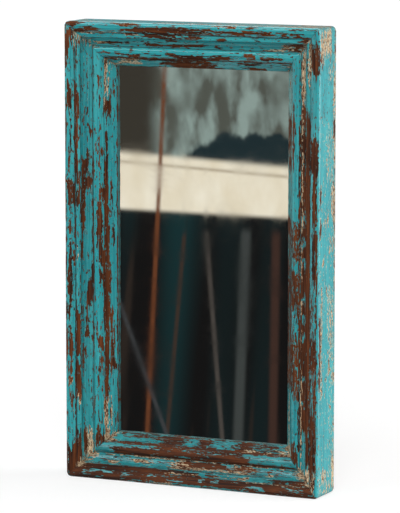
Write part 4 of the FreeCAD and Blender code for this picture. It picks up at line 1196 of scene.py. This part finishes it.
def grime_group(name):
    """Dirt that gathers in hollows and dust that lies in patches. On painted wood the amount carries painted
    shade too.
    """
    tree, given, out = new_group(
        name,
        [("Place", "Vector", None), ("Color", "Color", None), ("Dirt", "Color", None), ("Amount", "Float", 0.1),
         ("Size", "Float", 0.02)],
        [("Color", "Color"), ("Mask", "Float")])
    place = sized_place(tree, given["Place"], given["Size"], given["Size"])
    clouds = stretched_noise(tree, place, length=1.0, width=0.6, detail=4.0, roughness=0.65)
    patchy = map_range(tree, clouds, low=0.36, high=0.62, to_low=0.45)
    mask = multiply(tree, given["Amount"], patchy, clamp=True)
    send_out(tree, out, Color=mix_colour(tree, mask, given["Color"], given["Dirt"]), Mask=mask)
    return tree


def tarnish_group(name):
    """Plated metal: fine scratches, dull clouds and spots of rust."""
    tree, given, out = new_group(
        name,
        [("Place", "Vector", None), ("Plating", "Color", None), ("Rust", "Color", None),
         ("Amount", "Float", 0.3)],
        [("Color", "Color"), ("Roughness", "Float"), ("Height", "Float")])
    place = given["Place"]
    clouds = plain_noise(tree, place, scale=160.0, detail=4.0, roughness=0.6)
    spots = plain_noise(tree, place, scale=620.0, detail=3.0)
    scratches = plain_noise(tree, vector_math(tree, "MULTIPLY", place, SCRATCH_SCALE), scale=1.0)
    dull = map_range(tree, clouds, low=0.40, high=0.66)
    spotted = map_range(tree, spots, low=0.56, high=0.66)
    rust = multiply(tree, spotted, map_range(tree, clouds, low=0.46, high=0.60))
    rust = multiply(tree, rust, given["Amount"], clamp=True)
    darker = mix_colour(tree, DULL_RUST, given["Plating"], given["Rust"])
    colour = mix_colour(tree, multiply(tree, dull, DULL_SHARE), given["Plating"], darker)
    colour = mix_colour(tree, rust, colour, given["Rust"])
    roughness = map_range(tree, dull, low=0.0, high=1.0, to_low=0.26, to_high=0.46)
    roughness = add(tree, roughness, multiply(tree, rust, RUST_ROUGHNESS))
    send_out(tree, out, Color=colour, Roughness=roughness, Height=scratches)
    return tree


GROUP_NAMES = {flaking_group: "Flaking Paint", coat_group: "Brushed Coat", grain_group: "Wood Grain",
               grime_group: "Grime", tarnish_group: "Tarnished Plating"}


# Finishes

def new_material(name):
    """A material whose Principled shader is ready to be linked."""
    material = bpy.data.materials.new(name)
    material.use_nodes = True
    tree = material.node_tree
    return material, tree, tree.nodes["Principled BSDF"]


def set_inputs(shader, values):
    for name, value in values.items():
        shader.inputs[name].default_value = value


def link_surface(tree, shader, colour, roughness, height, strength, distance):
    """Sends colour, roughness and a bump to the shader."""
    bump = add_node(tree, "ShaderNodeBump", {"Strength": strength, "Distance": distance, "Height": height})
    tree.links.new(colour, shader.inputs["Base Color"])
    tree.links.new(bump.outputs[0], shader.inputs["Normal"])
    if isinstance(roughness, bpy.types.NodeSocket):
        tree.links.new(roughness, shader.inputs["Roughness"])
    else:
        shader.inputs["Roughness"].default_value = roughness


def painted_wood(name, looks):
    """Turquoise paint that flakes off a pale undercoat and dark wood, with a raw back."""
    material, tree, shader = new_material(name)
    place = read_values(tree, "place")["Vector"]
    wear, cream, grime, raw, matte = (
        read_values(tree, value)["Fac"] for value in ("wear", "cream", "grime", "raw", "matte"))
    flakes = use_group(tree, flaking_group, {
        "Place": place, "Wear": wear, "Undercoat": cream,
        "Length": looks.flake_length, "Width": looks.flake_width})
    coat = use_group(tree, coat_group, {
        "Place": place, "Coat": looks.paint, "Faded": looks.paint_faded, "Deep": looks.paint_deep})
    grain = use_group(tree, grain_group, {"Place": place, "Light": looks.wood_light, "Dark": looks.wood_dark})
    raw_grain = use_group(tree, grain_group, {
        "Place": place, "Light": looks.raw_light, "Dark": looks.raw_dark, "Width": RAW_GRAIN_WIDTH})
    overspill = stretched_noise(tree, place, length=0.02, width=0.008, detail=4.0, roughness=0.65, shift=21.0)
    raw = map_range(tree, subtract(tree, raw, overspill), low=-0.02, high=0.03, smooth=True)
    # Colour, from the wood up
    # Painted shadow of the paint's edge, with dirt, darkens the wood next to it.
    shadow_and_dirt_rim = multiply(tree, map_range(tree, flakes["Depth"], low=SHADOW_RIM_DEPTH, high=0.0), SHADOW_RIM_DARKNESS)
    wood = mix_colour(tree, shadow_and_dirt_rim, grain["Color"], looks.wood_dark)
    show_through = map_range(tree, grain["Height"], low=0.45, high=0.75, to_high=0.55)
    pale = mix_colour(tree, show_through, looks.undercoat, looks.wood_light)
    under = mix_colour(tree, flakes["Cream"], wood, pale)
    # Painted sheen: the sides' paint is mixed towards a pale veil.
    veiled = mix_colour(tree, multiply(tree, matte, SHEEN_VEIL_SHARE), coat["Color"], looks.sheen_veil)
    colour = mix_colour(tree, flakes["Bare"], veiled, under)
    colour = mix_colour(tree, raw, colour, raw_grain["Color"])
    # Grime darkens the colour: dirt, and painted shade in hollows, under edges and on the top face.
    dirty = use_group(tree, grime_group, {
        "Place": place, "Color": colour, "Dirt": looks.grime, "Amount": grime})
    # Roughness
    painted = map_range(tree, coat["Rub"], 0.0, 1.0, *PAINT_ROUGHNESS)
    grained = map_range(tree, grain["Height"], 0.0, 1.0, *GRAIN_ROUGHNESS)
    roughness = mix_value(tree, flakes["Bare"], painted, grained)
    roughness = mix_value(tree, matte, roughness, CHALKY_ROUGHNESS)
    roughness = mix_value(tree, raw, roughness, RAW_ROUGHNESS)
    # Height of the layers
    layer = mix_value(tree, flakes["Cream"], multiply(tree, grain["Height"], GRAIN_HEIGHT), UNDERCOAT_HEIGHT)
    brushed = add(tree, multiply(tree, coat["Height"], BRUSH_HEIGHT), PAINT_HEIGHT)
    height = mix_value(tree, flakes["Bare"], brushed, layer)
    height = mix_value(tree, raw, height, multiply(tree, raw_grain["Height"], RAW_GRAIN_HEIGHT))
    link_surface(tree, shader, dirty["Color"], roughness, height,
                 strength=1.0, distance=looks.paint_thickness)
    # Gloss, where clean paint is left
    gloss = subtract(tree, GLOSS_WEIGHT, add(tree, flakes["Bare"], matte))
    gloss = subtract(tree, gloss, add(tree, raw, dirty["Mask"]), clamp=True)
    tree.links.new(gloss, shader.inputs["Coat Weight"])
    set_inputs(shader, {"Coat Roughness": GLOSS_ROUGHNESS, "Coat IOR": GLOSS_IOR,
                        "Specular IOR Level": PAINT_SPECULAR})
    return material


def silvered_glass(looks):
    """Silvered glass with a film of dust and faint wipe marks."""
    material, tree, shader = new_material("silvered_glass")
    place = object_place(tree)
    wipes = plain_noise(tree, place, scale=9.0, detail=5.0, roughness=0.62, distortion=1.2)
    dust = plain_noise(tree, place, scale=900.0)
    film = map_range(tree, wipes, low=0.45, high=0.70)
    colour = mix_colour(tree, multiply(tree, film, GLASS_FILM_SHARE), looks.silver, GLASS_FILM)
    roughness = add(tree, map_range(tree, film, low=0.0, high=1.0, to_low=0.015, to_high=0.045),
                    map_range(tree, dust, low=0.62, high=0.72, to_high=0.03))
    tree.links.new(colour, shader.inputs["Base Color"])
    tree.links.new(roughness, shader.inputs["Roughness"])
    set_inputs(shader, {"Metallic": 1.0})
    return material


def plain_wood(name, light, dark, dirt, grain_width, axes, grime):
    """Unpainted wood or plywood with its grain, dust and pores. The axes start with the grain's direction."""
    material, tree, shader = new_material(name)
    place = add_node(tree, "ShaderNodeSeparateXYZ", {0: object_place(tree)}).outputs
    place = combine(tree, *(place[axis] for axis in axes))
    grain = use_group(tree, grain_group, {
        "Place": place, "Light": light, "Dark": dark, "Length": 0.18, "Width": grain_width})
    dirty = use_group(tree, grime_group, {
        "Place": place, "Color": grain["Color"], "Dirt": dirt, "Amount": grime, "Size": 0.09})
    roughness = map_range(tree, grain["Height"], low=0.2, high=0.8, to_low=0.62, to_high=0.84)
    link_surface(tree, shader, dirty["Color"], roughness, grain["Height"], strength=0.6, distance=0.0004)
    return material


def plated_metal(name, plating, rust, amount):
    """Plated steel with scratches and a little rust."""
    material, tree, shader = new_material(name)
    metal = use_group(tree, tarnish_group, {
        "Place": object_place(tree), "Plating": plating, "Rust": rust, "Amount": amount})
    set_inputs(shader, {"Metallic": 1.0})
    link_surface(tree, shader, metal["Color"], metal["Roughness"], metal["Height"],
                 strength=0.25, distance=0.0001)
    return material


def fibrous(name, colour, scale, roughness, distance):
    """Felt, card or rubber: a mottled colour and a fine uneven surface."""
    material, tree, shader = new_material(name)
    place = object_place(tree)
    fibres = plain_noise(tree, place, scale, detail=5.0, roughness=0.7, distortion=0.8)
    clouds = plain_noise(tree, place, scale / FIBRE_CLOUDS)
    tone = add(tree, map_range(tree, fibres, low=0.3, high=0.7, to_low=0.45, to_high=1.15),
               map_range(tree, clouds, low=0.3, high=0.7, to_high=0.25))
    mottled = shade_colour(tree, colour, tone)
    link_surface(tree, shader, mottled, roughness, fibres, strength=0.8, distance=distance)
    return material


def finish_nodes(material, *names):
    """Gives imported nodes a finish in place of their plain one."""
    for name in names:
        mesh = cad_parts[name].data
        mesh.materials.clear()
        mesh.materials.append(material)


# Stage

def sheet_tone(tree, share, tone, name):
    return mix_colour(tree, share, tone, SHEET_TONES[name])


def reflection_material():
    """Soft dim tones: pale grey-green above, a pale band, and dark streaks below."""
    material = bpy.data.materials.new("room_tones")
    material.use_nodes = True
    tree = material.node_tree
    tree.nodes.clear()
    place = object_place(tree)
    axes = add_node(tree, "ShaderNodeSeparateXYZ", {0: place}).outputs
    x, y = axes["X"], axes["Y"]
    leaning = add(tree, x, multiply(tree, y, SHEET_LEAN))
    leaning = combine(tree, leaning, multiply(tree, y, SHEET_STRETCH), 0.0)
    streaks = plain_noise(tree, leaning, scale=24.0, detail=1.0)
    hues = plain_noise(tree, leaning, scale=5.0, detail=1.0)
    mottle = plain_noise(tree, vector_math(tree, "MULTIPLY", place, SHEET_MOTTLE), scale=11.0, detail=3.0)
    lower = sheet_tone(tree, map_range(tree, hues, low=0.46, high=0.62), SHEET_TONES["black"], "deep")
    lower = sheet_tone(tree, map_range(tree, streaks, low=0.60, high=0.70), lower, "dusk")
    upper = sheet_tone(tree, map_range(tree, mottle, low=0.40, high=0.60), SHEET_TONES["grey"], "mist")
    upper = sheet_tone(tree, map_range(tree, hues, low=0.50, high=0.40), upper, "brown")
    upper = sheet_tone(tree, map_range(tree, x, *DIM_EDGE, smooth=True), upper, "edge")
    mound_x, mound_y = (multiply(tree, add(tree, axis, -centre), 1.0 / reach)
                        for axis, centre, reach in zip((x, y), MOUND_CENTRE, MOUND_REACH))
    mound = add(tree, multiply(tree, mound_x, mound_x), multiply(tree, mound_y, mound_y))
    mound = add(tree, mound, map_range(tree, mottle, low=0.3, high=0.7, to_low=-0.3, to_high=0.3))
    upper = sheet_tone(tree, map_range(tree, mound, low=1.15, high=0.85, smooth=True), upper, "mound")
    band = sheet_tone(tree, map_range(tree, mottle, low=0.3, high=0.7), SHEET_TONES["cream"], "ivory")
    level = add(tree, y, multiply(tree, add(tree, x, -BAND_PIVOT), BAND_SLOPE))
    line_low, line_middle, line_high = BAND_LINE
    line = multiply(tree, map_range(tree, level, line_low, line_middle, smooth=True),
                    map_range(tree, level, line_high, line_middle, smooth=True))
    band = sheet_tone(tree, multiply(tree, line, BAND_LINE_SHADE), band, "line")
    tone = mix_colour(tree, map_range(tree, y, *BAND_FOOT, smooth=True), lower, band)
    tone = mix_colour(tree, map_range(tree, level, *BAND_TOP, smooth=True), tone, upper)
    for start, lean, half_width, low, high, colour in SHEET_STREAKS:
        away = subtract(tree, x, add(tree, multiply(tree, y, lean), start))
        away = math_node(tree, "ABSOLUTE", away)
        share = map_range(tree, away, *(half_width * edge for edge in STREAK_SOFT_EDGE), smooth=True)
        share = multiply(tree, share, map_range(tree, y, low, low + STREAK_END_FADE, smooth=True))
        share = multiply(tree, share, map_range(tree, y, high, high - STREAK_END_FADE, smooth=True))
        tone = mix_colour(tree, share, tone, colour)
    # The sheet glows with these tones, though it is no lamp: a painted reflection of a room, which only the glass
    # shows.
    glow = add_node(tree, "ShaderNodeEmission", {"Color": tone, "Strength": 1.0}).outputs[0]
    tree.links.new(glow, tree.nodes.new("ShaderNodeOutputMaterial").inputs["Surface"])
    return material


def add_sheet(name, edges, height, material):
    """A flat stage surface, from its left, right, low and high edges."""
    left, right, low, high = edges
    corners = [(left, low, height), (right, low, height), (right, high, height), (left, high, height)]
    mesh = bpy.data.meshes.new(name)
    mesh.from_pydata(corners, [], [(0, 1, 2, 3)])
    mesh.materials.append(material)
    sheet = link_object(name, mesh)
    return sheet


def add_sun(name, strength, tilt, turn, spread):
    light = bpy.data.lights.new(name, "SUN")
    light.energy = strength
    light.angle = math.radians(spread)
    lamp = link_object(name, light)
    lamp.rotation_euler = (math.radians(tilt), 0.0, math.radians(turn))
    return lamp


def light_room(settings):
    """Even pale light, which camera, glossy and transmission rays see as white."""
    world = bpy.data.worlds.new("pale_room")
    bpy.context.scene.world = world
    world.use_nodes = True
    tree = world.node_tree
    background = tree.nodes["Background"]
    rays = add_node(tree, "ShaderNodeLightPath").outputs
    seen = math_node(tree, "MAXIMUM", rays["Is Camera Ray"], rays["Is Glossy Ray"])
    seen = math_node(tree, "MAXIMUM", seen, rays["Is Transmission Ray"])
    background.inputs["Color"].default_value = (1.0, 1.0, 1.0, 1.0)
    tree.links.new(mix_value(tree, seen, settings.sky_strength, 1.0), background.inputs["Strength"])


def pale_floor(settings):
    """Pale floor that keeps the shadow, and is near white to the camera."""
    material, tree, shader = new_material("pale_floor")
    clouds = multiply(tree, plain_noise(tree, object_place(tree), scale=2.0), FLOOR_CLOUD_SHARE)
    colour = mix_colour(tree, clouds, settings.floor, FLOOR_CLOUD)
    seen = add_node(tree, "ShaderNodeLightPath").outputs["Is Camera Ray"]
    colour = mix_colour(tree, seen, FLOOR_BOUNCE, colour)
    tree.links.new(colour, shader.inputs["Base Color"])
    set_inputs(shader, {"Roughness": 0.9, "Specular IOR Level": 0.1})
    white = add_node(tree, "ShaderNodeEmission", {"Strength": FLOOR_WHITE}).outputs[0]
    share = multiply(tree, seen, FLOOR_WHITE_SHARE)
    lifted = add_node(tree, "ShaderNodeMixShader", {0: share, 1: shader.outputs[0], 2: white}).outputs[0]
    tree.links.new(lifted, tree.nodes["Material Output"].inputs["Surface"])
    return material


# Operators

class MIRROR_OT_paint_members(bpy.types.Operator):
    """Make the four outer members with their worn paint"""

    bl_idname = "mirror.paint_members"
    bl_label = "Paint Stiles and Rails"

    def execute(self, context):
        sizes, looks = context.scene.mirror_sizes, context.scene.mirror_paint
        section = member_section(sizes)
        material = painted_wood("flaking_paint_frame", looks)
        for side, (member, _, seed) in SIDES.items():
            piece = make_member("painted_" + member, side, section, seed, WORN_PATCHES[member], sizes, material)
            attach(piece, "frame")
            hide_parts(member)
        return {"FINISHED"}


class MIRROR_OT_paint_sight_mouldings(bpy.types.Operator):
    """Make the four sight mouldings with their worn paint"""

    bl_idname = "mirror.paint_sight_mouldings"
    bl_label = "Paint Sight Mouldings"

    def execute(self, context):
        sizes, looks = context.scene.mirror_sizes, context.scene.mirror_paint
        section = sight_section(sizes)
        material = painted_wood("flaking_paint_moulding", looks)
        for side, (_, moulding, seed) in SIDES.items():
            piece = make_member("painted_" + moulding, side, section, seed + SIGHT_SEED_STEP,
                                WORN_PATCHES[moulding], sizes, material)
            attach(piece, "frame")
            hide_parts(moulding)
        return {"FINISHED"}


class MIRROR_OT_silver_glass(bpy.types.Operator):
    """Silver the glass"""

    bl_idname = "mirror.silver_glass"
    bl_label = "Silver Glass"

    def execute(self, context):
        finish_nodes(silvered_glass(context.scene.mirror_fittings), "mirror_glass")
        return {"FINISHED"}


class MIRROR_OT_finish_back(bpy.types.Operator):
    """Finish the back panel and what lies behind the glass"""

    bl_idname = "mirror.finish_back"
    bl_label = "Finish Back"

    def execute(self, context):
        paint, fittings = context.scene.mirror_paint, context.scene.mirror_fittings
        plywood = plain_wood("plywood_veneer", fittings.ply_light, fittings.ply_dark, paint.raw_dark,
                             grain_width=0.007, axes="ZXY", grime=0.35)
        hardwood = plain_wood("tongue_hardwood", paint.raw_light, paint.raw_dark, paint.raw_dark,
                              grain_width=0.002, axes="YXZ", grime=0.1)
        card = fibrous("grey_card", fittings.card, scale=700.0, roughness=0.9, distance=0.0001)
        rubber = fibrous("block_rubber", fittings.rubber, scale=900.0, roughness=0.7, distance=0.0001)
        finish_nodes(plywood, "back_panel")
        finish_nodes(hardwood, "mitre_tongue_top_left", "mitre_tongue_top_right", "mitre_tongue_bottom_left",
                     "mitre_tongue_bottom_right")
        finish_nodes(card, "backing_card")
        finish_nodes(rubber, "setting_block_left", "setting_block_right")
        return {"FINISHED"}


class MIRROR_OT_finish_hangers(bpy.types.Operator):
    """Finish the hanger straps and their rings"""

    bl_idname = "mirror.finish_hangers"
    bl_label = "Finish Hangers"

    def execute(self, context):
        fittings = context.scene.mirror_fittings
        zinc = plated_metal("zinc_plating", fittings.zinc, fittings.rust, amount=0.8)
        finish_nodes(zinc, "left_hanger_strap", "right_hanger_strap", "left_hanger_ring", "right_hanger_ring")
        return {"FINISHED"}


class MIRROR_OT_finish_screws(bpy.types.Operator):
    """Finish all the screws"""

    bl_idname = "mirror.finish_screws"
    bl_label = "Finish Screws"

    def execute(self, context):
        fittings = context.scene.mirror_fittings
        plating = plated_metal("yellow_plating", fittings.screw, fittings.rust, amount=1.0)
        finish_nodes(plating, "moulding_screws", "hanger_screws", "back_panel_screws")
        return {"FINISHED"}


class MIRROR_OT_finish_bumpers(bpy.types.Operator):
    """Finish the felt bumpers"""

    bl_idname = "mirror.finish_bumpers"
    bl_label = "Finish Bumpers"

    def execute(self, context):
        fittings = context.scene.mirror_fittings
        felt = fibrous("dark_felt", fittings.felt, scale=1500.0, roughness=0.95, distance=0.0006)
        finish_nodes(felt, "wall_bumper_left", "wall_bumper_right")
        return {"FINISHED"}


class MIRROR_OT_set_stage(bpy.types.Operator):
    """Set the floor, the light, the tones in the glass and the camera"""

    bl_idname = "mirror.set_stage"
    bl_label = "Set Stage"

    def execute(self, context):
        scene, settings = context.scene, context.scene.mirror_stage
        floor_edges = (-FLOOR_REACH, FLOOR_REACH, -FLOOR_REACH, FLOOR_REACH)
        floor = add_sheet("floor", floor_edges, FRAME_LOW.z, pale_floor(settings))
        floor.visible_glossy = False
        screen = add_sheet("room_screen", SCREEN_EDGES, 0.0, reflection_material())
        screen.location = SCREEN_PLACE
        screen.rotation_euler = (math.pi / 2.0, 0.0, 0.0)
        for ray in SCREEN_HIDDEN_RAYS:
            setattr(screen, "visible_" + ray, False)
        light_room(settings)
        lamps = {name: add_sun(name, getattr(settings, strength), *angles)
                 for name, (strength, *angles) in LAMPS.items()}
        # Sampled as a lamp only, the crest light isn't hidden by the sheet in front of it.
        lamps["crest_light"].data.cycles.use_multiple_importance_sampling = False
        camera_data = bpy.data.cameras.new("camera")
        camera_data.lens = settings.lens
        scene.camera = link_object("camera", camera_data)
        scene.camera.location = settings.camera_place
        scene.camera.rotation_euler = (math.pi / 2.0 - settings.camera_pitch, 0.0, settings.camera_yaw)
        scene.view_settings.view_transform = "Standard"
        return {"FINISHED"}


class MIRROR_PT_dressing(bpy.types.Panel):
    """Steps that dress the mirror"""

    bl_idname = "MIRROR_PT_dressing"
    bl_label = "Wooden Mirror"
    bl_space_type = "VIEW_3D"
    bl_region_type = "UI"
    bl_category = "Mirror"

    def draw(self, context):
        for step in STEPS:
            self.layout.operator(step.bl_idname)


STEPS = (
    MIRROR_OT_paint_members, MIRROR_OT_paint_sight_mouldings, MIRROR_OT_silver_glass, MIRROR_OT_finish_back,
    MIRROR_OT_finish_hangers, MIRROR_OT_finish_screws, MIRROR_OT_finish_bumpers, MIRROR_OT_set_stage,
)
SETTINGS = {
    "mirror_sizes": MirrorSectionSizes,
    "mirror_paint": MirrorPaintLooks,
    "mirror_fittings": MirrorFittingLooks,
    "mirror_stage": MirrorStageSettings,
}


def register():
    for name, group in SETTINGS.items():
        bpy.utils.register_class(group)
        setattr(bpy.types.Scene, name, PointerProperty(type=group))
    for step in STEPS:
        bpy.utils.register_class(step)
    bpy.utils.register_class(MIRROR_PT_dressing)


def unregister():
    bpy.utils.unregister_class(MIRROR_PT_dressing)
    for step in reversed(STEPS):
        bpy.utils.unregister_class(step)
    for name, group in SETTINGS.items():
        delattr(bpy.types.Scene, name)
        bpy.utils.unregister_class(group)


def main():
    register()
    bpy.ops.mirror.paint_members()
    bpy.ops.mirror.paint_sight_mouldings()
    bpy.ops.mirror.silver_glass()
    bpy.ops.mirror.finish_back()
    bpy.ops.mirror.finish_hangers()
    bpy.ops.mirror.finish_screws()
    bpy.ops.mirror.finish_bumpers()
    bpy.ops.mirror.set_stage()


if __name__ == "__main__":
    main()
